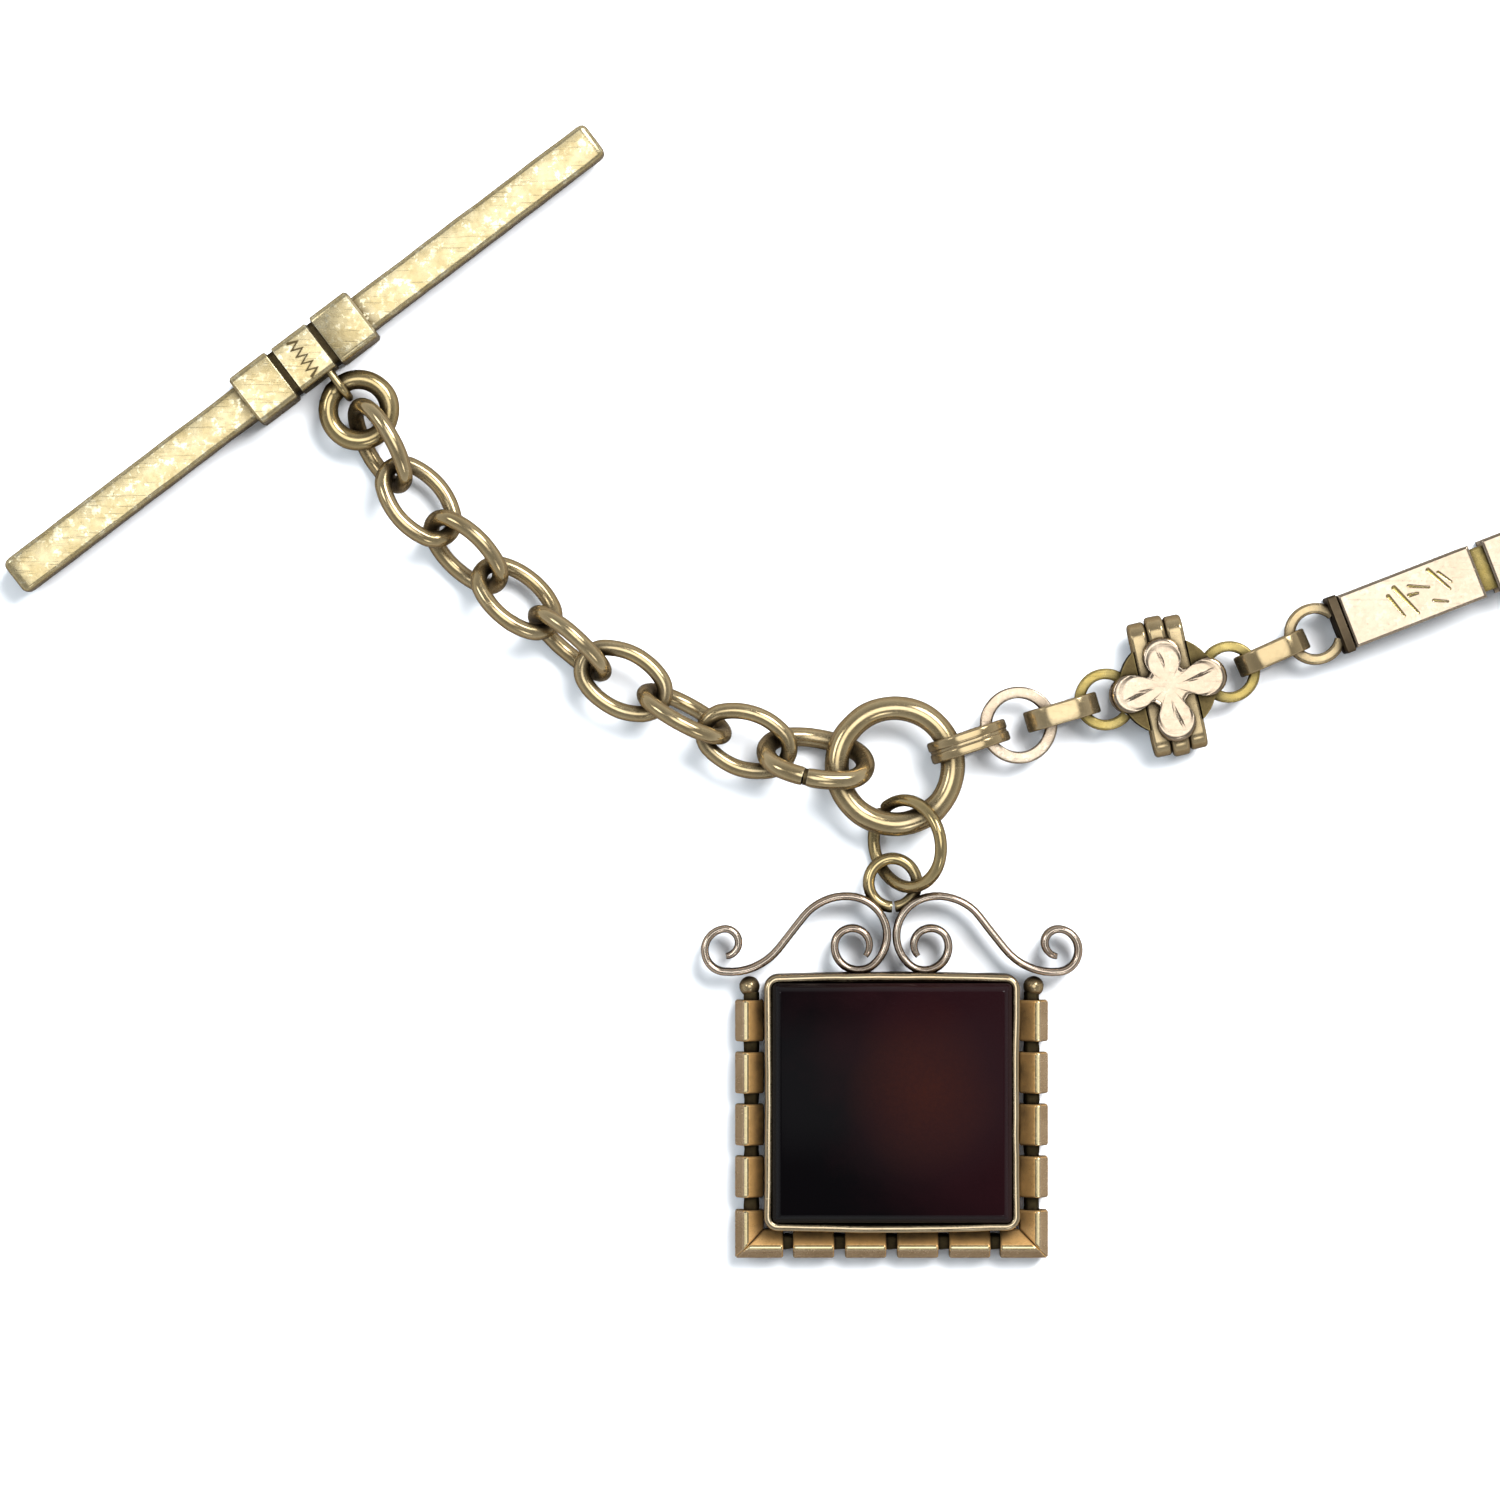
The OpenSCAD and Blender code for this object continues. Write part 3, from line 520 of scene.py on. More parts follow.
haze = ramp(tree, math_node(tree, "ADD", across,
                            math_node(tree, "MULTIPLY", cloud.outputs["Fac"], 1.6)), (0.15, 1.3, 0.0, 1.0))
stone_colour = mix_colour(tree, haze, (0.0016, 0.0013, 0.0016), (0.0085, 0.0024, 0.0032))
stone_colour = mix_colour(tree, painted_glow, stone_colour, (0.02, 0.0044, 0.0026))
link(tree, stone_colour, shader.inputs["Base Color"])
stone_rough = ramp(tree, cloud.outputs["Fac"], (0.3, 0.7, 0.1, 0.18))
link(tree, stone_rough, shader.inputs["Roughness"])
shader.inputs["IOR"].default_value = 1.54
shader.inputs["Specular IOR Level"].default_value = 0.03
stone_bump = add_node(tree, "ShaderNodeBump", Strength=0.05, Distance=0.02 * MM)
link(tree, grain.outputs["Fac"], stone_bump.inputs["Height"])
link(tree, stone_bump.outputs["Normal"], shader.inputs["Normal"])
print("stone is", [round(v / MM, 1) for v in size("fob_stone")], "mm")

# %% [markdown]
# ## Round wire: the oval links and the rings
# A chain maker winds wire round a former, cuts each turn and solders it. Each link here is one
# sweep of a round section along a four-arc oval. The wire swells a little at the soldered seam
# and wanders by a few hundredths of a millimetre, as hand-closed links do.

# %% Oval links
LINK_L, LINK_W, LINK_WIRE, LINK_END = 5.25 * MM, 3.7 * MM, 0.85 * MM, 1.15 * MM
LINK_SNUG = 0.96  # slimmer than the measured wire, so that the links clear each other as they swing
HEADINGS = [170, 161, 152, 151, 139, 140, 136, 130, 119]
ROLLS = [53, -12, 70, -5, -72, 35, -48, 28, -60]


def seam_swell(at, amount=0.05, spread=0.02):
    """A solder seam: the wire is thicker at one place of its path, given as a share of it."""
    def width(f):
        d = abs((f - at + 0.5) % 1.0 - 0.5)
        return 1.0 + amount * math.exp(-(d / spread) ** 2)
    return width


for step in range(1, 9):
    node = f"link_{9 - step}"
    v, f = sweep(oval_path(LINK_L, LINK_W, LINK_WIRE, LINK_END),
                 round_section(LINK_WIRE / 2 * LINK_SNUG, 24),
                 turn(HEADINGS[step], ROLLS[step], middle(node)), wobble=0.02 * MM,
                 width_at=seam_swell(0.36 + 0.07 * (step % 4), 0.035, 0.015))
    finish_piece(node + "_wire", v, f, node, [node], "link_gold", link_gilt)
print("oval links made: 8")

# %% Split link beside the centre ring
# the split shows, so this one path is open; a dark plug in the gap is painted shade for the closed butt joint
SPLIT_WIRE = 1.0 * MM
SPLIT_GAP, GAP_X = 0.2 * MM, 0.36 * MM
loop = oval_path(6.0 * MM, 4.3 * MM, SPLIT_WIRE, 1.45 * MM)
start = min(range(len(loop)), key=lambda i: abs(loop[i][0] - GAP_X) + (0 if loop[i][1] > 0 else 1))
loop = loop[start:] + loop[:start]
gap_y = loop[0][1]
opened = [(GAP_X - SPLIT_GAP / 2, gap_y)] + [p for p in loop if p[1] < 0 or abs(p[0] - GAP_X) > SPLIT_GAP]
opened.append((GAP_X + SPLIT_GAP / 2, gap_y))


def cut_ends(f):
    """A cut wire is filed a little thinner at both ends."""
    d = min(f, 1 - f)
    return 1.0 - 0.07 * math.exp(-(d / 0.004) ** 2)


centre = middle("split_link")
v, f = sweep(opened, round_section(SPLIT_WIRE / 2 * LINK_SNUG, 28), turn(HEADINGS[0], ROLLS[0], centre),
             closed=False, wobble=0.02 * MM, width_at=cut_ends)
finish_piece("split_link_wire", v, f, "split_link", ["split_link"], "link_gold", link_gilt)
# painted shade: a dark plug in the gap
plug = sweep([(GAP_X - 0.1 * MM, gap_y), (GAP_X, gap_y), (GAP_X + 0.1 * MM, gap_y)],
             round_section(SPLIT_WIRE * 0.42, 20), turn(HEADINGS[0], ROLLS[0], centre), closed=False)
finish_piece("split_link_gap_shade", *plug, "split_link", [], "link_gold", neck_gilt)
print("split link points", len(opened))

# %% Centre ring and the T-bar's ring
for node, wire, swell_at, material, slot_name in (
        ("centre_ring", 1.22 * MM, 0.86, link_gilt, "link_gold"),
        ("t_bar_ring", 1.0 * MM, 0.4, ring_gilt, "ring_gold")):
    radius = (size(node).x - wire) / 2
    v, f = sweep(circle_path(radius, 120), round_section(wire / 2 * SNUG, 28), turn(0, 0, middle(node)),
                 wobble=0.025 * MM, width_at=seam_swell(swell_at, 0.07, 0.018))
    finish_piece(node + "_wire", v, f, node, [node], slot_name, material)
print("round rings made")

# %% The thin jump ring, left a little open
JUMP_TURN, JUMP_TILT, JUMP_CUT, JUMP_WIRE, JUMP_OUT = -81, 42, 215, 0.65 * MM, 3.9 * MM
JUMP_SNUG = 0.95
jump_r = (5.0 * MM - JUMP_WIRE) / 2
jump_way = math.radians(JUMP_TURN)
jump_at = (JUMP_OUT * math.cos(jump_way), JUMP_OUT * math.sin(jump_way), 1.8 * MM)
path = arc_points(0, 0, jump_r, JUMP_CUT + 2.0, JUMP_CUT + 358.0, 110)
v, f = sweep(path, round_section(JUMP_WIRE / 2 * JUMP_SNUG, 24),
             turn(JUMP_TURN, JUMP_TILT, jump_at), closed=False, wobble=0.02 * MM, width_at=cut_ends)
finish_piece("fob_jump_wire", v, f, "fob_jump_ring", ["fob_jump_ring"], "ring_gold", ring_gilt)
BAIL_WIRE = 0.6 * MM
bail_r = (size("fob_bail").x - BAIL_WIRE) / 2
v, f = sweep(arc_points(0, 0, bail_r, -84.5, 272.5, 90), round_section(BAIL_WIRE / 2 * SNUG, 24),
             turn(0, 0, middle("fob_bail")), closed=False, wobble=0.02 * MM, width_at=cut_ends)
finish_piece("fob_bail_wire", v, f, "fob", ["fob_bail"], "ring_gold", ring_gilt)
print("jump ring and bail made")

# %% [markdown]
# ## The T-bar
# The bar is a plain bevelled rod, rubbed soft by years in a buttonhole, with a sleeve soldered
# round its middle. A loft of rounded squares makes both: the sleeve just changes size along its
# length, which gives the grooves and the sunken panel. The zigzag is cut with a graver, so its
# facets are real: a folded strip laid into the panel.

# %% Bar
T_HEAD = 37.2
BAR_L, BAR_W, BAR_T = 36.2 * MM, 1.85 * MM, 1.7 * MM
bar_mid = middle("t_bar")
t_place = turn(T_HEAD, 0, bar_mid)
# mm from the end, and share of the full section there: a softly rounded end
END_ROUND = ((0.0, 0.74), (0.07, 0.88), (0.2, 0.965), (0.42, 1.0))
inner = [(-1 + i / 42) * (BAR_L / 2 - 0.8 * MM) for i in range(85)]
marks = ([(-BAR_L / 2 + d * MM, k) for d, k in END_ROUND] + [(x, 1.0) for x in inner]
         + [(BAR_L / 2 - d * MM, k) for d, k in reversed(END_ROUND)])
bar_section = box_section(BAR_W * 1.06, BAR_T * SNUG, 0.24 * MM, 4)
stations = [[(x, y * k, z * k) for y, z in bar_section] for x, k in marks]
v, f = loft(stations, t_place, 0.03 * MM)
finish_piece("t_bar_rod", v, f, "t_bar", ["t_bar"], "bar_gold", bar_gilt)
print("bar length", round(size("t_bar").length / MM, 1), "mm")

# %% [markdown]
# ## The sleeve and its zigzag
# The sleeve is a square tube with two dark grooves that frame a small panel. Grooves could be cut
# with a boolean, but a list of widths along the sleeve gives them with clean edges. Their floors
# get the dark metal as painted shade, and the zigzag is a ribbon of the same metal, proud enough
# to have a shape.

# %% Sleeve with grooves and a zigzag panel
SLEEVE_L, SLEEVE_W = 7.3 * MM, 2.84 * MM
sleeve_place = turn(T_HEAD, 0, middle("t_bar_sleeve"))
half = SLEEVE_L / 2
panel = SLEEVE_L * 0.13
profile = [(-half, 0.9), (-half + 0.12 * MM, 0.985), (-1.5 * MM, 0.99), (-1.4 * MM, 0.97),
           (-1.34 * MM, 0.85), (-1.08 * MM, 0.85), (-1.02 * MM, 0.93), (-panel, 0.93)]
profile = profile + [(-x, k) for x, k in reversed(profile)]
sections = [[(x, y * k, z * k) for y, z in box_section(SLEEVE_W, SLEEVE_W, 0.3 * MM, 4)]
            for x, k in profile]
v, f = loft(sections, sleeve_place, 0.015 * MM)
block = finish_piece("t_bar_sleeve_block", v, f, "t_bar", ["t_bar_sleeve"], "bar_gold", bar_gilt)
block.data.materials.append(neck_gilt)
# painted shade: the groove floors get the near-black metal
GROOVE_FROM, GROOVE_TO = 1.07 * MM, 1.37 * MM
to_sleeve = sleeve_place.inverted()
for poly in block.data.polygons:
    if GROOVE_FROM < abs((to_sleeve @ poly.center).x) < GROOVE_TO:
        poly.material_index = 1
teeth, PANEL_SHARE, ZIG_SHARE = 5, 0.93, 0.72
zig = []
for side in (1, -1):
    line = [((0.26 if i % 2 else -0.26) * MM, (-0.5 + i / (2 * teeth)) * SLEEVE_W * ZIG_SHARE)
            for i in range(2 * teeth + 1)]
    zig.append(sweep(line, box_section(0.15 * MM, 0.06 * MM, 0.01 * MM, 1),
                     sleeve_place @ Matrix.Translation((0, 0, side * SLEEVE_W / 2 * PANEL_SHARE)),
                     closed=False))
v, f = merge(*zig)
finish_piece("t_bar_zigzag", v, f, "t_bar", [], "bar_gold", neck_gilt, smooth=False)
print("zigzag teeth", teeth)

# %% [markdown]
# ## The staple
# A little loop of thin wire stands on the sleeve and holds the bar's ring. It is swept in its own
# upright plane, so a small matrix turns the flat path to face out of the sleeve.

# %% Staple
side = math.radians(T_HEAD - 90)
toward = Vector((math.cos(side), math.sin(side), 0))
face_at = Vector(bar_mid) + toward * SLEEVE_W / 2
along = Vector((math.cos(math.radians(T_HEAD)), math.sin(math.radians(T_HEAD)), 0))
root = face_at + along * 0.6 * MM
root.z = 1.5 * MM
bend, reach, sunk = 0.76 * MM, 0.68 * MM, -0.1 * MM
path = [(sunk, -bend), (reach * 0.5, -bend)] + arc_points(reach, 0, bend, -90, 90, 16)
path += [(reach, bend), (reach * 0.5, bend), (sunk, bend)]
basis = Matrix((toward, UP, toward.cross(UP))).transposed().to_4x4()
v, f = sweep(path, round_section(0.197 * MM, 16), Matrix.Translation(root) @ basis, closed=False)
finish_piece("t_bar_staple_wire", v, f, "t_bar", ["t_bar_staple"], "ring_gold", ring_gilt)
print("staple rises", round(2 * bend / MM, 2), "mm")

# %% [markdown]
# ## The fob's scrolls
# Flat strip is rolled into S scrolls with pliers, so each is a chain of arcs. The same list of
# radii and turns that the measured model uses gives the path; the strip thins towards its ends.

# %% Scrolls
FOB_X = -0.15 * MM
SCROLL_T, SCROLL_H, SCROLL_Z = 0.38 * MM, 1.3 * MM, 0.6 * MM
SCROLL_START = (-8.39, -9.46, 5)
SCROLL_ARCS = [(0.68, 185), (1.07, 164), (3.06, 58), (0, 2.02), (2.62, -63), (1.94, -126),
               (1.18, -142), (0.87, -128), (0.83, -84)]


def scroll_path(start, arcs):
    """Follows (radius, turn) arcs in mm and degrees; a radius of 0 is a straight of that length."""
    x, y, h = start
    pts = [(x, y)]
    for r, t in arcs:
        if r == 0:
            step = (t / 4 * math.cos(math.radians(h)), t / 4 * math.sin(math.radians(h)))
            pts += [(x + k * step[0], y + k * step[1]) for k in range(1, 5)]
            x, y = pts[-1]
            continue
        s = 1 if t > 0 else -1
        cx = x - s * r * math.sin(math.radians(h))
        cy = y + s * r * math.cos(math.radians(h))
        n = max(6, int(abs(t) / 7))
        for k in range(1, n + 1):
            a = math.radians(h + t * k / n)
            pts.append((cx + s * r * math.sin(a), cy - s * r * math.cos(a)))
        x, y = pts[-1]
        h += t
    return [(px * MM, py * MM) for px, py in pts]


def strip_taper(f):
    """The strip is filed thinner towards both of its curled ends."""
    return 1.0 - 0.3 * math.exp(-f / 0.03) - 0.3 * math.exp(-(1 - f) / 0.03)


for node, mirror in (("fob_scroll_left", 1), ("fob_scroll_right", -1)):
    pts = scroll_path(SCROLL_START, SCROLL_ARCS)
    if mirror < 0:
        pts = [(2 * FOB_X - x, y) for x, y in pts]
    place = Matrix.Translation((0, 0, SCROLL_Z + SCROLL_H / 2))
    section = box_section(SCROLL_T * 1.02, SCROLL_H * 0.98, 0.2 * MM, 6)
    v, f = sweep(pts, section, place, closed=False, wobble=0.02 * MM, width_at=strip_taper)
    finish_piece(node + "_strip", v, f, "fob", [node], "border_gold", scroll_gilt)
print("scroll points", len(pts))

# %% [markdown]
# ## The border of faceted rods
# The square frame is bordered by short rods cut from one long faceted bar, with dark necks between
# them and mitred corners. Each rod is a five-sided section pushed along its length. The same
# helper makes columns, the bottom row and the two corner pieces.

# %% Rods
BEZEL_W, BORDER_W, BORDER_Z, BORDER_H = 12.7 * MM, 1.45 * MM, 0.4 * MM, 1.5 * MM
ROD_L, ROD_PITCH = 2.05 * MM, 2.59 * MM
fob_mid = middle("fob_stone")
fob_mid.z = 0
edge_at = BEZEL_W / 2 + BORDER_W / 2


def rod_section(outer):
    """Facets of one rod, looking along it; outer is +1 or -1, the side away from the stone."""
    w = BORDER_W / 2 * SNUG
    h = BORDER_H
    return [(-w * outer, 0), (w * outer, 0), (w * outer, h * 0.62), (w * 0.42 * outer, h * 0.97),
            (w * 0.1 * outer, h * 0.97), (-w * outer, h * 0.6)]


def rod(start, end, outer, place, cut_start=0.0, cut_end=0.0):
    """A rod from start to end along local X; the cuts lean the ends for a mitre."""
    loops = []
    sec = rod_section(outer)
    for x, cut in ((start, cut_start), (end, cut_end)):
        loops.append([(x + cut * y, y, z) for y, z in sec])
    return loft(loops, place)


def side_place(heading, lift, inward=0.0):
    """Place of one side of the border: the bottom side, turned by the heading about the stone."""
    return (Matrix.Translation(fob_mid + Vector((0, 0, lift)))
            @ Matrix.Rotation(math.radians(heading), 4, "Z")
            @ Matrix.Translation((0, -edge_at + inward, 0)))


def add_border(name, node, heading, starts, extra=()):
    """A side of rods; extra rods are (start, end, lean of the start, lean of the end)."""
    place = side_place(heading, BORDER_Z)
    parts = [rod(s, s + ROD_L, -1, place) for s in starts]
    parts += [rod(*e[:2], -1, place, *e[2:]) for e in extra]
    piece = finish_piece(name, *merge(*parts), "fob", [node], "border_gold", border_gilt,
                         smooth=False, bevel=0.13 * MM)
    piece.data.materials.append(ridge_highlight_gilt)
    piece.data.materials.append(outer_slope_shade_gilt)
    outward = Vector((math.sin(math.radians(heading)), -math.cos(math.radians(heading)), 0))
    # painted highlight: brighter metal on the flat ridge; painted shade: browner metal on the slope outside
    # it
    for poly in piece.data.polygons:
        if poly.normal.z > 0.95:
            poly.material_index = 1
        elif poly.normal.z > 0.3 and poly.normal.dot(outward) > 0.3:
            poly.material_index = 2


top_y = BEZEL_W / 2
corner_leg = 2.4 * MM
miter = edge_at + BORDER_W / 2
# the left column runs down, so it is the bottom side turned by -90 degrees
FIRST_ROD, MITRE_LEAN = 1.3 * MM, 1.0
column = [top_y - FIRST_ROD - ROD_L - k * ROD_PITCH for k in range(4)]
left_corner = (-miter + BORDER_W / 2, -miter + corner_leg, MITRE_LEAN, 0.0)
right_corner = (miter - corner_leg, miter - BORDER_W / 2, 0.0, -MITRE_LEAN)
add_border("border_left_rods", "fob_border_left", -90, [-(s + ROD_L) for s in column], [right_corner])
add_border("border_right_rods", "fob_border_right", 90, column, [left_corner])
bottom_starts = [(k - 1.5) * ROD_PITCH - ROD_L / 2 for k in range(4)]
add_border("border_bottom_rods", "fob_border_bottom", 0, bottom_starts, [left_corner, right_corner])
print("rods on each side", len(column), "bottom", len(bottom_starts))

# %% [markdown]
# ## The necks between the rods
# The long bar was filed down between its rods, and the low places are painted dark as shade. One
# slightly wavy dark bar runs inside each side and shows in the gaps as painted shade. A small domed
# boss ends each column under the scrolls.

# %% Dark core bars between the rods
core_w, core_h = BORDER_W * 0.52, BORDER_H * 0.62


def core_bar(heading, start, end):
    """The filed-down bar inside one side, from start to end along it."""
    place = side_place(heading, BORDER_Z + 0.1 * MM, 0.1 * MM)
    loops = []
    count = 40
    for i in range(count + 1):
        x = start + (end - start) * i / count
        k = 1.0 + 0.06 * math.sin(i * 1.7)
        loops.append([(x, y * k, z * k + core_h / 2)
                      for y, z in box_section(core_w, core_h, 0.2 * MM, 3)])
    return loft(loops, place)


# painted shade: dark bars fill the gaps between the rods
sides = merge(core_bar(-90, -top_y + 0.9 * MM, edge_at), core_bar(90, -edge_at, top_y - 0.9 * MM),
              core_bar(0, -edge_at, edge_at))
finish_piece("border_core", *sides, "fob", [], "border_gold", neck_gilt)

BOSS_IN = 0.62 * MM
dome = [(-0.55 * MM, 0.3 * MM * 0.85)]
for a in range(-40, 81, 10):
    dome.append((0.55 * MM * math.sin(math.radians(a)), 0.6 * MM * math.cos(math.radians(a)) * 0.85))
bosses = []
for s in (-1, 1):
    at = Matrix.Translation(fob_mid + Vector((s * edge_at, top_y - BOSS_IN, BORDER_Z + BOSS_IN)))
    bosses.append(lathe(dome, at @ Matrix.Rotation(math.radians(-90), 4, "Y"), 28))
finish_piece("border_bosses", *merge(*bosses), "fob", [], "border_gold", strap_gilt)
print("border finished")

# %% [markdown]
# ## Bezel, back plate and stone
# A strip is bent into a square, soldered at the middle of its lower side, and its top edge is
# rubbed over the stone. The strip is never quite straight, so the path wanders a little before it
# is swept. The stone is a thin slab with a polished bevel.

# %% Bezel
def round_square(width, radius, per_side=16, per_corner=8, wander=0.0):
    """A square path with round corners; wander bows its sides a little, in and out by turns."""
    pts = []
    s = width / 2 - radius
    for k in range(4):
        a0 = 90 * k
        c, d = math.cos(math.radians(a0)), math.sin(math.radians(a0))
        for i in range(per_side):
            bow = wander * math.sin(math.pi * (i / per_side)) * (1 if k % 2 else -0.6)
            x, y = width / 2 + bow, -s + 2 * s * i / per_side
            pts.append((x * c - y * d, x * d + y * c))
        for i in range(per_corner):
            b = 90 * i / per_corner
            x = s + radius * math.cos(math.radians(b))
            y = s + radius * math.sin(math.radians(b))
            pts.append((x * c - y * d, x * d + y * c))
    return pts


LIP, BEZEL_H, BACK_T = 0.5 * MM, 2.1 * MM, 0.5 * MM
LIP_SEEN, LIP_ROUND = 0.4 * MM, 0.16 * MM
wall = [(-LIP_SEEN / 2, -BEZEL_H / 2), (LIP_SEEN / 2, -BEZEL_H / 2)]
for a in range(0, 181, 18):
    wall.append((LIP_SEEN / 2 * math.cos(math.radians(a)),
                 BEZEL_H / 2 - LIP_ROUND + LIP_ROUND * math.sin(math.radians(a))))
v, f = sweep(round_square(BEZEL_W - LIP_SEEN, 0.5 * MM, wander=0.09 * MM), wall,
             Matrix.Translation(fob_mid + Vector((0, 0, BACK_T + BEZEL_H / 2))), wobble=0.03 * MM)
finish_piece("bezel_wall", v, f, "fob", ["fob_bezel"], "bezel_gold", bezel_gilt)
print("bezel is", round(BEZEL_W / MM, 1), "mm square")


# %% Back plate and stone
def slab(width, radius, levels, name, nodes, slot_name, material, wobble=0.0):
    """A rounded-square slab; levels are (height, inset) pairs."""
    loops = [[(x, y, z) for x, y in round_square(width - 2 * inset, max(radius - inset, 0.1 * MM))]
             for z, inset in levels]
    v, f = loft(loops, Matrix.Translation(fob_mid), wobble)
    return finish_piece(name, v, f, "fob", nodes, slot_name, material)


slab(BEZEL_W - 0.4 * MM, 0.9 * MM, [(0, 0.1 * MM), (0.08 * MM, 0), (BACK_T - 0.02 * MM, 0)],
     "back_plate", ["fob_back"], "bezel_gold", bezel_gilt)
STONE_W = BEZEL_W - 2 * LIP
# height over the back plate and how far the stone has drawn in there, in mm
STONE_LEVELS = ((0.0, 0.0), (2.12, 0.0), (2.17, 0.02), (2.46, 0.33), (2.5, 0.4))
slab(STONE_W + 0.17 * MM, 0.25 * MM, [(BACK_T + z * MM, inset * MM) for z, inset in STONE_LEVELS],
     "cornelian_slab", ["fob_stone"], "gem", stone_mat)
stone_edge = stone_mat.copy()
stone_edge.name = "cornelian_bevel"
stone_edge.node_tree.nodes["Principled BSDF"].inputs["Specular IOR Level"].default_value = 0.3
slab_mesh = bpy.data.objects["cornelian_slab"].data
slab_mesh.materials.append(stone_edge)
for poly in slab_mesh.polygons:
    if 0.2 < poly.normal.z < 0.97:
        poly.material_index = 1
print("stone across", round(STONE_W / MM, 2), "mm")

# %% [markdown]
# ## Straps, washer and the flower beads
# These links are bent from flat strip. A bead is two pierced flower plates on a short drum, with a
# ribbed hoop through it from side to side. The plates are a height field over the flower's own
# outline: a raised rim, a soft dome and a cut vein down each petal.

# %% Strap links
STRAP_L, STRAP_H, STRAP_W, STRAP_T = 3.8 * MM, 2.6 * MM, 1.1 * MM, 0.38 * MM
# headings in degrees of the links and beads, in order from the centre ring
HOP_HEAD = [18.3, 16.4, 12.6, 23.8, 21.2, -15, -50, -80, -90, -70, -10, 30]
STRAP_SNUG = 0.96


def strap(length, high, wide, thick, place, corner=0.1 * MM):
    """A flat strip bent into a long loop that stands on its edge."""
    path = stadium_path(length - thick, high - thick, 22)
    return sweep(path, box_section(thick * STRAP_SNUG, wide * STRAP_SNUG, corner, 4), place)


for n in range(1, 7):
    node = f"strap_link_{n}"
    v, f = strap(STRAP_L, STRAP_H, STRAP_W, STRAP_T, turn(HOP_HEAD[2 * n - 1], 90, middle(node)))
    finish_piece(node + "_strap", v, f, node, [node], "strap_gold", strap_gilt)

# two narrow straps side by side, with a thinner one in the groove between them
double_place = turn(HOP_HEAD[0], 90, middle("double_strap_link"))
pair = [strap(4.1 * MM, 3.3 * MM, 0.53 * MM, 0.35 * MM,
              double_place @ Matrix.Translation((0, 0, s * 0.3 * MM)), 0.13 * MM) for s in (-1, 1)]
pair.append(strap(3.96 * MM, 3.14 * MM, 0.16 * MM, 0.24 * MM, double_place, 0.02 * MM))
v, f = merge(*pair)
finish_piece("double_strap_pair", v, f, "double_strap_link", ["double_strap_link"], "strap_gold", strap_gilt)
print("strap links made: 7")

# %% [markdown]
# ## The washer
# The wide flat ring after the double strap was punched from sheet, so it is a flat section with
# softened corners, swept round a circle. It is thinner than the wire rings and paler in colour.

# %% Washer
v, f = sweep(circle_path(1.625 * MM, 80), box_section(0.6 * MM, 0.5 * MM, 0.09 * MM, 4),
             turn(0, 0, middle("washer_ring")), wobble=0.02 * MM)
finish_piece("washer_plate", v, f, "washer_ring", ["washer_ring"], "rose_gold", rose_gilt)
print("washer across", round(size("washer_ring").x / MM, 2), "mm")

# %% [markdown]
# ## The flower plates
# A flower is punched from sheet, domed a little and cut with one vein in each petal. Its edge is
# four round lobes, written as a distance for each angle. Rings of points shrink from that edge to
# the middle, and each point's height adds up the dome, the rim and the vein.

# %% The flower's outline and veins
LOBES = (2.02 * MM, 1.5 * MM, 1.95 * MM, 1.9 * MM)
LOBE_R, FLOWER_T, BEAD_T, DRUM_R = 0.98 * MM, 0.42 * MM, 2.6 * MM, 2.45 * MM


def flower_edge(a):
    """Distance from the middle to the flower's edge at angle a, in radians."""
    best = 1.15 * MM
    for k, d in enumerate(LOBES):
        off = (a - math.radians(90 * k) + math.pi) % (2 * math.pi) - math.pi
        if abs(d * math.sin(off)) < LOBE_R and abs(off) < math.pi / 2:
            best = max(best, d * math.cos(off) + math.sqrt(LOBE_R ** 2 - (d * math.sin(off)) ** 2))
        elif abs(off) < math.pi / 2 and abs(math.sin(off)) > 1e-4:
            best = max(best, min(0.68 * MM / abs(math.sin(off)), d * 0.95))
    return best * SNUG


def vein_cut(x, y):
    """How deep the engraver's vein is at a point, from 0 to 1."""
    depth = 0.0
    for k, d in enumerate(LOBES):
        a = math.radians(90 * k + 4)
        u = x * math.cos(a) + y * math.sin(a)
        w = -x * math.sin(a) + y * math.cos(a)
        w += 0.12 * MM * math.sin(u / MM * 2.2)
        start, end = (0.8 + 0.15 * (k % 2)) * MM, d + 0.3 * MM
        if start < u < end:
            fade = min(1.0, (u - start) / (0.3 * MM), (end - u) / (0.35 * MM))
            depth = max(depth, fade * max(0.0, 1 - abs(w) / (0.055 * MM)))
    return depth


print("petals reach", [round((d + LOBE_R) / MM, 2) for d in LOBES], "mm")


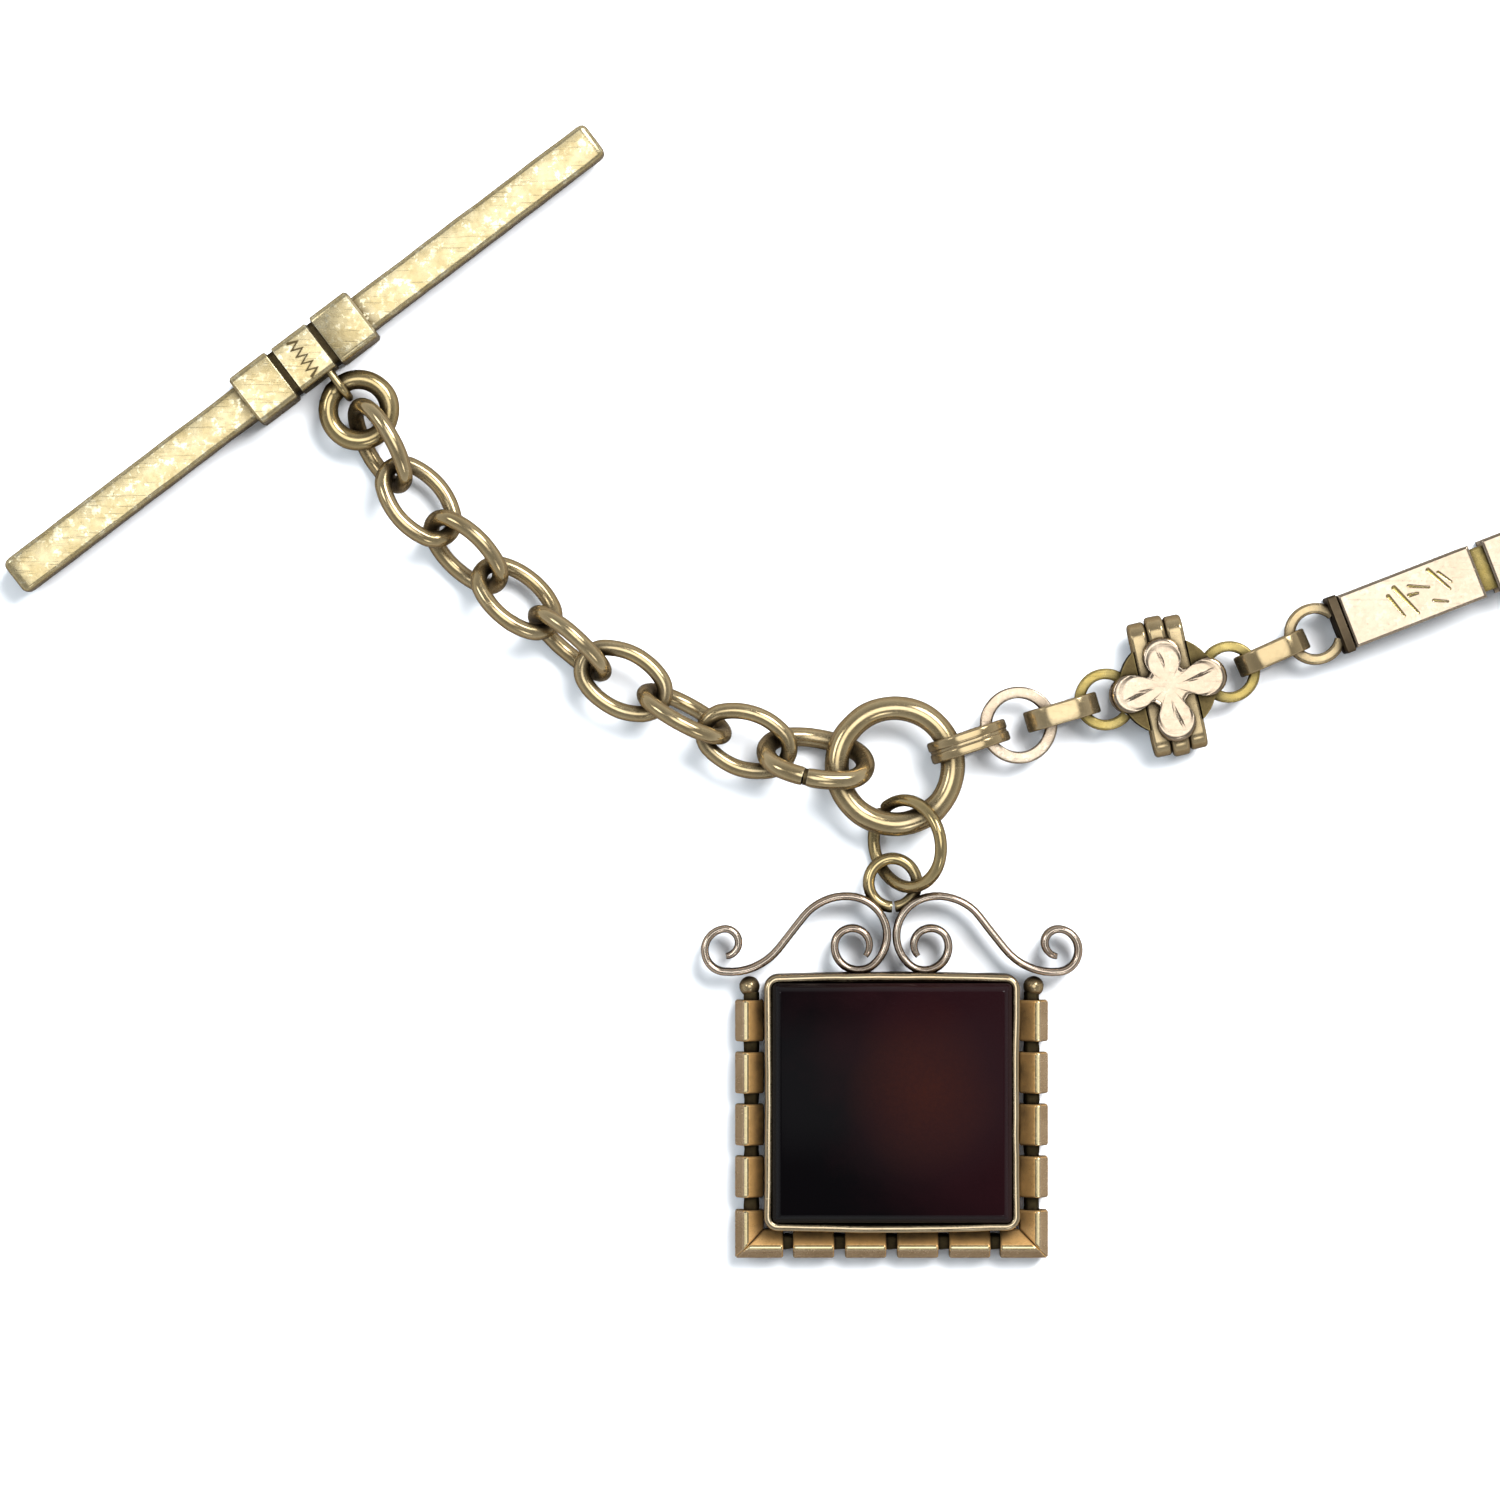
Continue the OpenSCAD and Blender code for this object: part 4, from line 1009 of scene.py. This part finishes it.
# %% A flower plate
def flower(place, up):
    """One plate on the top (up = 1) or the bottom (up = -1) of a bead."""
    rings = [0.0, 0.1, 0.2, 0.3, 0.4, 0.5, 0.58, 0.66, 0.74, 0.81, 0.87, 0.92, 0.96, 0.985, 1.0]
    count = 240
    verts, faces = [], []
    base = BEAD_T / 2 - FLOWER_T
    for fr in rings:
        for k in range(count):
            a = 2 * math.pi * k / count
            r = flower_edge(a) * fr
            x, y = r * math.cos(a), r * math.sin(a)
            dome = 0.03 * MM * (1 - fr ** 2)
            rim = 0.05 * MM * math.exp(-((fr - 0.9) / 0.06) ** 2)
            fall = 0.2 * MM * max(0.0, (fr - 0.95) / 0.05) ** 2
            z = base + FLOWER_T - 0.1 * MM + dome + rim - fall - 0.07 * MM * vein_cut(x, y)
            verts.append((x, y, z))
    for k in range(count):
        a = 2 * math.pi * k / count
        r = flower_edge(a)
        verts.append((r * math.cos(a), r * math.sin(a), base))
    n = len(rings)
    for i in range(n):
        for k in range(count):
            l = (k + 1) % count
            faces.append((i * count + k, (i + 1) * count + k, (i + 1) * count + l, i * count + l))
    faces.append(tuple(n * count + k for k in reversed(range(count))))
    flip = Matrix.Rotation(0 if up > 0 else math.pi, 4, "X")
    return [uneven(place @ flip @ Vector(v), 0.015 * MM) for v in verts], faces


print("a flower plate can be made")

# %% [markdown]
# ## The beads
# A bead's short drum is open where the hoop goes through, so it is made as two curved halves with
# a groove round the middle. The ribbed hoop is three straps side by side. An open ring at each
# end takes the next strap link.

# %% The beads
SIDE_ON = Matrix(((0, 0, 1, 0), (1, 0, 0, 0), (0, 1, 0, 0), (0, 0, 0, 1)))
HOOP_W, HOOP_L, HOOP_T = 2.75 * MM, 7.1 * MM, 0.4 * MM
HOOP_H = BEAD_T - 2 * FLOWER_T
BEAD_HEAD = (HOP_HEAD[2], HOP_HEAD[6], HOP_HEAD[10])
EYE_R = 1.275 * MM


def end_eyes(place, out, half_angle, section):
    """The two open rings at the ends of a bead or a bar, each swept from -half_angle to half_angle."""
    return [sweep(arc_points(0, 0, EYE_R, -half_angle, half_angle, 60), section,
                  place @ Matrix.Rotation(math.radians(s), 4, "Z") @ Matrix.Translation((out, 0, 0)),
                  closed=False, wobble=0.015 * MM) for s in (0, 180)]


for n in (1, 2, 3):
    body = f"bead_{n}"
    at = middle(body + "_drum")
    place = turn(BEAD_HEAD[n - 1], 0, at)
    v, f = merge(flower(place, 1), flower(place, -1))
    finish_piece(body + "_flower_plates", v, f, body, [body + "_flowers"], "rose_gold", rose_gilt)

    drum_parts = []
    half_open = math.degrees(math.acos(HOOP_W / 2 / DRUM_R))
    for s in (0, 180):
        drum_end = math.radians(s + half_open)
        outline = arc_points(0, 0, DRUM_R * SNUG, s - half_open, s + half_open, 30)
        outline.append((DRUM_R * SNUG * math.cos(drum_end), DRUM_R * SNUG * math.sin(drum_end)))
        mid_x = sum(p[0] for p in outline) / len(outline)
        mid_y = sum(p[1] for p in outline) / len(outline)
        loops = []
        for z, k in ((-HOOP_H / 2, 1), (-HOOP_H * 0.38, 1), (-HOOP_H * 0.3, 0.93), (HOOP_H * 0.3, 0.93),
                     (HOOP_H * 0.38, 1), (HOOP_H / 2, 1)):
            loops.append([(mid_x + (x - mid_x) * k, mid_y + (y - mid_y) * k, z)
                          for x, y in outline])
        drum_parts.append(loft(loops, place, 0.015 * MM))
    finish_piece(body + "_drum_wall", *merge(*drum_parts), body, [body + "_drum"], "strap_gold",
                 drum_gilt)

    ribs = []
    rib_section = box_section(HOOP_T * STRAP_SNUG, HOOP_W / 3 - 0.03 * MM, 0.19 * MM, 5)
    for k in (-1, 0, 1):
        rib_path = stadium_path(HOOP_L - HOOP_T - abs(k) * 0.3 * MM,
                                HOOP_H - HOOP_T - abs(k) * 0.1 * MM, 24)
        rib_place = place @ SIDE_ON @ Matrix.Translation((0, 0, k * HOOP_W / 3))
        ribs.append(sweep(rib_path, rib_section, rib_place, wobble=0.02 * MM))
    finish_piece(body + "_hoop_ribs", *merge(*ribs), body, [body + "_hoop"], "strap_gold", strap_gilt)

    eyes = end_eyes(place, 3.15 * MM, 136, box_section(0.54 * MM, 0.54 * MM, 0.12 * MM, 4))
    finish_piece(body + "_eyes", *merge(*eyes), body, [body + "_rings"], "yellow_gold", yellow_gilt)
print("flower beads made: 3")

# %% [markdown]
# ## The engraved bars
# Each bar is a yellow core with pale rose plates soldered on, two to a side, and dark caps at the
# ends. The engraver's bright cuts go through the rose skin and show the gold below. The plate is
# a fine grid pushed down along a few strokes, and the pushed-down faces get the yellow metal.

# %% The engraver's strokes
PLATE_L, PLATE_W, PLATE_T, CORE_T, PLATE_GAP = 7.0 * MM, 2.78 * MM, 0.4 * MM, 1.8 * MM, 0.63 * MM
# strokes across a plate: start and end as parts of its length and width, then half width in mm
STROKES = [(-0.16, 0.16, -0.10, -0.28, 0.10), (-0.10, 0.26, 0.0, -0.32, 0.13),
           (0.17, 0.34, 0.27, -0.12, 0.11), (0.23, 0.24, 0.30, -0.02, 0.06),
           (0.0, 0.2, 0.14, 0.04, 0.07), (0.13, -0.2, 0.23, -0.32, 0.06),
           (-0.02, 0.04, 0.05, 0.02, 0.09)]


def stroke_depth(x, y):
    """How deep the cut is at a point of a plate, from 0 to 1; each stroke tapers to a point."""
    deepest = 0.0
    for ax, ay, bx, by, half_w in STROKES:
        ax, bx, ay, by = ax * PLATE_L, bx * PLATE_L, ay * PLATE_W, by * PLATE_W
        dx, dy = bx - ax, by - ay
        t = max(0.0, min(1.0, ((x - ax) * dx + (y - ay) * dy) / (dx * dx + dy * dy)))
        off = math.hypot(x - ax - t * dx, y - ay - t * dy)
        taper = 0.35 + 0.65 * (1 - t)
        deepest = max(deepest, 1 - off / (half_w * MM * taper))
    return max(0.0, deepest)


print("strokes on a plate:", len(STROKES))


# %% An engraved plate
def engraved_plate(place):
    """A grid of points with soft edges, pushed down along the strokes, on a flat underside."""
    nx, ny = 150, 60
    verts, faces = [], []
    w, l = PLATE_W * SNUG, PLATE_L * 0.99
    for j in range(ny + 1):
        for i in range(nx + 1):
            x, y = -l / 2 + l * i / nx, -w / 2 + w * j / ny
            near = min(l / 2 - abs(x), w / 2 - abs(y))
            fall = 0.07 * MM * max(0.0, 1 - near / (0.14 * MM)) ** 2
            z = PLATE_T - 0.02 * MM - fall - 0.05 * MM * stroke_depth(x, y)
            verts.append(place @ Vector((x, y, z)))
    for j in range(ny):
        for i in range(nx):
            a = j * (nx + 1) + i
            faces.append((a, a + 1, a + nx + 2, a + nx + 1))
    edge = list(range(nx + 1)) + [j * (nx + 1) + nx for j in range(1, ny + 1)]
    edge += [ny * (nx + 1) + i for i in reversed(range(nx))]
    edge += [j * (nx + 1) for j in reversed(range(1, ny))]
    base = len(verts)
    for i in edge:
        x = -l / 2 + l * (i % (nx + 1)) / nx
        y = -w / 2 + w * (i // (nx + 1)) / ny
        verts.append(place @ Vector((x, y, 0)))
    for k, i in enumerate(edge):
        l2 = (k + 1) % len(edge)
        faces.append((edge[l2], i, base + k, base + l2))
    faces.append(tuple(base + k for k in reversed(range(len(edge)))))
    return verts, faces


def bar_box(length, width, height, corner, place, steps=1, wobble=0.0):
    """A bar with softened long edges and softened ends, cut into steps so that it can waver."""
    loops = []
    for i in range(steps + 3):
        x = -length / 2 + length * max(0, min(steps, i - 1)) / steps
        k = 0.93 if i in (0, steps + 2) else 1.0
        x += {0: 0.0, 1: 0.05 * MM, steps + 1: -0.05 * MM}.get(i, 0.0)
        loops.append([(x, y * k, z * k) for y, z in box_section(width, height, corner, 3)])
    return loft(loops, place, wobble)


print("an engraved plate can be made")

# %% [markdown]
# ## Putting each bar together
# The core shows as a bright line between the plates. Every plate is turned or mirrored from the
# same grid. A dark cap closes each end, and half of an eye comes out of it.

# %% The two bars
cap_x = PLATE_GAP / 2 + PLATE_L
plate_mid = (PLATE_GAP + PLATE_L) / 2
BAR_EYE, CAP_T = 8.86 * MM, 0.5 * MM
CUT_SEEN = 0.12  # a face this deep in a stroke shows the gold below
for n in (1, 2):
    body = f"bar_{n}"
    place = turn(HOP_HEAD[4 * n], 0, middle(body + "_core"))
    core = bar_box(2 * cap_x, PLATE_W - 0.54 * MM, CORE_T, 0.1 * MM, place, 60, 0.03 * MM)
    finish_piece(body + "_core_block", *core, body, [body + "_core"], "yellow_gold", yellow_gilt)
    plates = []
    for up in (0, 180):
        for s in (-1, 1):
            plates.append(engraved_plate(place @ Matrix.Rotation(math.radians(up), 4, "X")
                                         @ Matrix.Translation((s * plate_mid, 0, CORE_T / 2))))
    piece = finish_piece(body + "_skins", *merge(*plates), body, [body + "_plates"], "rose_gold",
                         rose_gilt)
    piece.data.materials.append(yellow_gilt)
    inverse = place.inverted()
    cut_count = 0
    for poly in piece.data.polygons:
        c = inverse @ poly.center
        plate_x = c.x - plate_mid if c.x > 0 else c.x + plate_mid
        plate_y = c.y if c.z > 0 else -c.y
        on_top = abs(c.z) > CORE_T / 2 + 0.1 * MM
        if len(poly.vertices) == 4 and on_top and stroke_depth(plate_x, plate_y) > CUT_SEEN:
            poly.material_index = 1
            cut_count += 1
    caps = [bar_box(CAP_T, 2.96 * MM, CORE_T + 2 * PLATE_T, 0.12 * MM,
                    place @ Matrix.Translation((s * (cap_x + CAP_T / 2), 0, 0)), 2) for s in (-1, 1)]
    finish_piece(body + "_end_caps", *merge(*caps), body, [body + "_caps"], "border_gold", cap_gilt)
    half_angle = math.degrees(math.acos(-(BAR_EYE - cap_x - 0.42 * MM) / EYE_R))
    eyes = end_eyes(place, BAR_EYE, half_angle, box_section(0.54 * MM, 0.75 * MM, 0.14 * MM, 4))
    finish_piece(body + "_eyes", *merge(*eyes), body, [body + "_rings"], "yellow_gold", strap_gilt)
print("engraved bars made: 2, cut faces", cut_count)

# %% [markdown]
# ## The swivel clip
# The clip at the far end spins on a headed post, so the chain never twists. The eye and collar
# are one casting; the hook is bent from thicker wire; the gate closes on the hook's nose under a
# small spring. Lathed profiles give the collar and base, and swept wire gives the rest.

# %% The eye, the collar and the post
SW_HEAD, HOOK_R, HOOK_WIRE = 60, 3.6 * MM, 1.8 * MM
PIN = Vector((8.2 * MM, -3.6 * MM, 0))
pin_at = middle("swivel_gate_pin")
sw_place = turn(SW_HEAD, 0, pin_at) @ Matrix.Translation(-PIN)
eye_lift = middle("bead_1_drum").z - pin_at.z
eye = sweep(circle_path(1.55 * MM, 80), round_section(0.44 * MM, 22),
            sw_place @ Matrix.Translation((0, 0, eye_lift)), wobble=0.02 * MM)
# the collar's outline as distance along it and radius, in mm
collar_shape = [(1.6, 0.9), (1.7, 1.0), (2.0, 1.08), (2.15, 1.08), (2.3, 0.96), (2.5, 0.96),
                (2.62, 1.08), (4.6, 1.08), (4.72, 0.96), (4.92, 0.96), (5.05, 1.08), (5.22, 1.08),
                (5.28, 1.0), (5.28, 0.6)]
collar = lathe([(x * MM, r * MM) for x, r in collar_shape], sw_place, 48)
finish_piece("swivel_eye_collar", *merge(eye, collar), "swivel_eye", ["swivel_eye"], "link_gold", link_gilt)
post = lathe([(4.9 * MM, 0.54 * MM), (5.7 * MM, 0.54 * MM)], sw_place, 32)
finish_piece("swivel_post_pin", *post, "swivel_hook", ["swivel_post"], "link_gold", link_gilt)
print("collar is", round((collar_shape[-1][0] - collar_shape[0][0]), 2), "mm long")

# %% The hook and its rivet
hook_x, hook_far = 7.2 * MM, 17.7 * MM
base = lathe([(5.62 * MM, 1.05 * MM), (5.7 * MM, 1.18 * MM), (6.6 * MM, 1.34 * MM), (7.4 * MM, 1.46 * MM),
              (7.55 * MM, 1.3 * MM)], sw_place, 48)
path = arc_points(hook_x + HOOK_R, 0, HOOK_R, 180, 90, 20)
path += [(hook_x + HOOK_R + (hook_far - hook_x - HOOK_R) * k / 8, HOOK_R) for k in range(8)]
path += arc_points(hook_far, 0, HOOK_R, 90, -90, 40)
path += [(hook_far, -HOOK_R), (hook_far - 0.7 * MM, -HOOK_R), (hook_far - 1.38 * MM, -HOOK_R)]
wire = sweep(path, round_section(HOOK_WIRE / 2 * SNUG, 28), sw_place, closed=False, wobble=0.03 * MM)
jaw = bar_box(1.66 * MM, 4.1 * MM, 1.74 * MM, 0.35 * MM,
              sw_place @ Matrix.Translation((hook_x + 0.2 * MM, -2.1 * MM, 0)), 6)
to_upright = Matrix.Rotation(math.radians(-90), 4, "Y")
cheek_shape = [(-0.22 * MM, 0.9 * MM), (-0.17 * MM, 0.98 * MM), (0.17 * MM, 0.98 * MM), (0.22 * MM, 0.9 * MM)]
cheeks = [lathe(cheek_shape, sw_place @ Matrix.Translation((*PIN.xy, s * 0.67 * MM)) @ to_upright, 36)
          for s in (-1, 1)]
finish_piece("swivel_hook_wire", *merge(base, wire, jaw, *cheeks), "swivel_hook", ["swivel_hook"],
             "link_gold", link_gilt)
pin = lathe([(-0.9 * MM, 0.22 * MM), (-0.86 * MM, 0.29 * MM), (0.86 * MM, 0.29 * MM), (0.9 * MM, 0.22 * MM)],
            sw_place @ Matrix.Translation(PIN) @ to_upright, 24)
finish_piece("swivel_pin_rivet", *pin, "swivel_hook", ["swivel_gate_pin"], "link_gold", strap_gilt)
print("hook reaches", round((hook_far + HOOK_R) / MM, 1), "mm from the eye")

# %% [markdown]
# ## The gate
# The gate is a thin arm with a thicker end that meets the hook's nose. It turns on the rivet, so
# it is its own piece on its own body, and a turn of fine spring wire sits round the rivet.

# %% Gate and spring
nose = hook_far - 1.4 * MM
arm_from, arm_to = PIN.x + 0.9 * MM, nose - 0.1 * MM
arm = bar_box(arm_to - arm_from, 0.8 * MM, 0.8 * MM, 0.16 * MM,
              sw_place @ Matrix.Translation(((arm_to + arm_from) / 2, -HOOK_R, 0)), 20, 0.01 * MM)
knob = lathe([(nose - 2.2 * MM, 0.55 * MM), (nose - 2.1 * MM, 0.74 * MM), (nose - 0.2 * MM, 0.74 * MM),
              (nose - 0.06 * MM, 0.6 * MM)], sw_place @ Matrix.Translation((0, -HOOK_R, 0)), 32)
root = bar_box(1.7 * MM, 0.8 * MM, 0.46 * MM, 0.08 * MM,
               sw_place @ Matrix.Translation((PIN.x + 0.45 * MM, -HOOK_R, -0.1 * MM)), 2)
finish_piece("swivel_gate_lever", *merge(arm, knob, root), "swivel_gate", ["swivel_gate"],
             "link_gold", link_gilt)
coil = sweep(circle_path(0.49 * MM, 40), round_section(0.09 * MM, 12),
             sw_place @ Matrix.Translation((*PIN.xy, 0.28 * MM)))
finish_piece("swivel_spring_turn", *coil, "swivel_hook", ["swivel_gate_spring"], "spring_metal",
             spring_grey)
print("gate arm", round((nose - PIN.x) / MM, 1), "mm")

# %% [markdown]
# ## The table
# The chain lies on white paper. Metal that mirrored all of that white would look flat, so rays
# that come from a reflection see a darker table, as they would with dark cards standing round the
# object.

# %% Table
floor_mesh = bpy.data.meshes.new("table")
floor_mesh.from_pydata([(-3, -3, 0), (3, -3, 0), (3, 3, 0), (-3, 3, 0)], [], [(0, 1, 2, 3)])
table = bpy.data.objects.new("table", floor_mesh)
bpy.context.scene.collection.objects.link(table)
table.location.z = min(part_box(n)[0].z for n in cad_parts) - 0.02 * MM
white = bpy.data.materials.new("white_table")
white.use_nodes = True
paper = white.node_tree.nodes["Principled BSDF"]
seen = white.node_tree.nodes.new("ShaderNodeLightPath")
PAPER, DARK_CARD = (0.9, 0.91, 0.93), (0.15, 0.13, 0.11)
shade = mix_colour(white.node_tree, seen.outputs["Is Glossy Ray"], PAPER, DARK_CARD)
link(white.node_tree, shade, paper.inputs["Base Color"])
paper.inputs["Roughness"].default_value = 0.9
paper.inputs["Specular IOR Level"].default_value = 0.1
floor_mesh.materials.append(white)
print("table at", round(table.location.z / MM, 3), "mm")

# %% [markdown]
# ## The studio
# Polished metal shows whatever stands round it, so the surroundings matter more than the lamps. A
# dim dome that is lighter near the table, with a few bright soft-edged discs in it, gives the
# wires their light and dark stripes. The lamps only light the paper and make the soft shadows, so
# they are kept out of the reflections.

# %% The dome
scene = bpy.context.scene
scene.view_settings.view_transform = "Standard"
world = bpy.data.worlds.new("studio")
scene.world = world
world.use_nodes = True
tree = world.node_tree
back = tree.nodes["Background"]
direction = tree.nodes.new("ShaderNodeTexCoord").outputs["Generated"]
xyz = tree.nodes.new("ShaderNodeSeparateXYZ")
link(tree, direction, xyz.inputs[0])
sides = ramp(tree, xyz.outputs["Z"], (0.0, 0.8, 0.55, 0.2))


def bright_patch(toward, inner, outer, strength):
    """A soft-edged bright disc on the dome; inner and outer are its half widths in degrees."""
    dot = tree.nodes.new("ShaderNodeVectorMath")
    dot.operation = "DOT_PRODUCT"
    link(tree, direction, dot.inputs[0])
    dot.inputs[1].default_value = Vector(toward).normalized()
    return ramp(tree, dot.outputs["Value"], (math.cos(math.radians(outer)),
                                             math.cos(math.radians(inner)), 0.0, strength))


# where each disc is, its inner and outer half widths in degrees, and its strength
DISCS = (((0.04, 0.06, 1.0), 11, 20, 1.9), ((0.42, 0.5, 0.75), 8, 13, 8.0),
         ((-0.6, 0.2, 0.77), 6, 10, 3.5), ((0.2, -0.65, 0.73), 5, 9, 2.0))
level = sides
for toward, inner, outer, strength in DISCS:
    level = math_node(tree, "ADD", level, bright_patch(toward, inner, outer, strength))
link(tree, level, back.inputs["Strength"])
back.inputs["Color"].default_value = (0.94, 0.97, 1.0, 1)
print("the dome is ready")


# %% The lamps

def soft_lamp(name, at, look, width, watts, tint=(1, 1, 1)):
    """A square lamp of that width in metres, at a point and turned to look at another."""
    lamp = bpy.data.lights.new(name, "AREA")
    lamp.shape = "RECTANGLE"
    lamp.size = width
    lamp.size_y = width
    lamp.energy = watts
    lamp.color = tint
    holder = bpy.data.objects.new(name, lamp)
    bpy.context.scene.collection.objects.link(holder)
    holder.location = at
    holder.rotation_euler = (Vector(look) - Vector(at)).to_track_quat("-Z", "Y").to_euler()
    holder.visible_glossy = False
    return holder


centre = Vector((-0.0072, 0.0008, 0.0))
soft_lamp("window_light", centre + Vector((0.2, 0.25, 0.42)), centre, 0.3, 5.8)
soft_lamp("fill_light", centre + Vector((-0.3, 0.05, 0.3)), centre, 0.3, 0.9, (0.8, 0.92, 1.0))
print("lamps", len(bpy.data.lights))

# %% [markdown]
# ## The camera
# It looks straight down from 30 cm with a long lens, which keeps the rings round and the frame
# square. A new camera already looks down, so it only has to be moved.

# %% Camera
EYE_HEIGHT = 0.3
camera = bpy.data.cameras.new("camera")
camera.sensor_width = 36
camera.lens = 144
camera.clip_start = 0.01
eye_point = bpy.data.objects.new("camera", camera)
bpy.context.scene.collection.objects.link(eye_point)
eye_point.location = (centre.x, centre.y, EYE_HEIGHT)
scene.camera = eye_point
print("view is", round(EYE_HEIGHT * camera.sensor_width / camera.lens / MM, 1), "mm wide")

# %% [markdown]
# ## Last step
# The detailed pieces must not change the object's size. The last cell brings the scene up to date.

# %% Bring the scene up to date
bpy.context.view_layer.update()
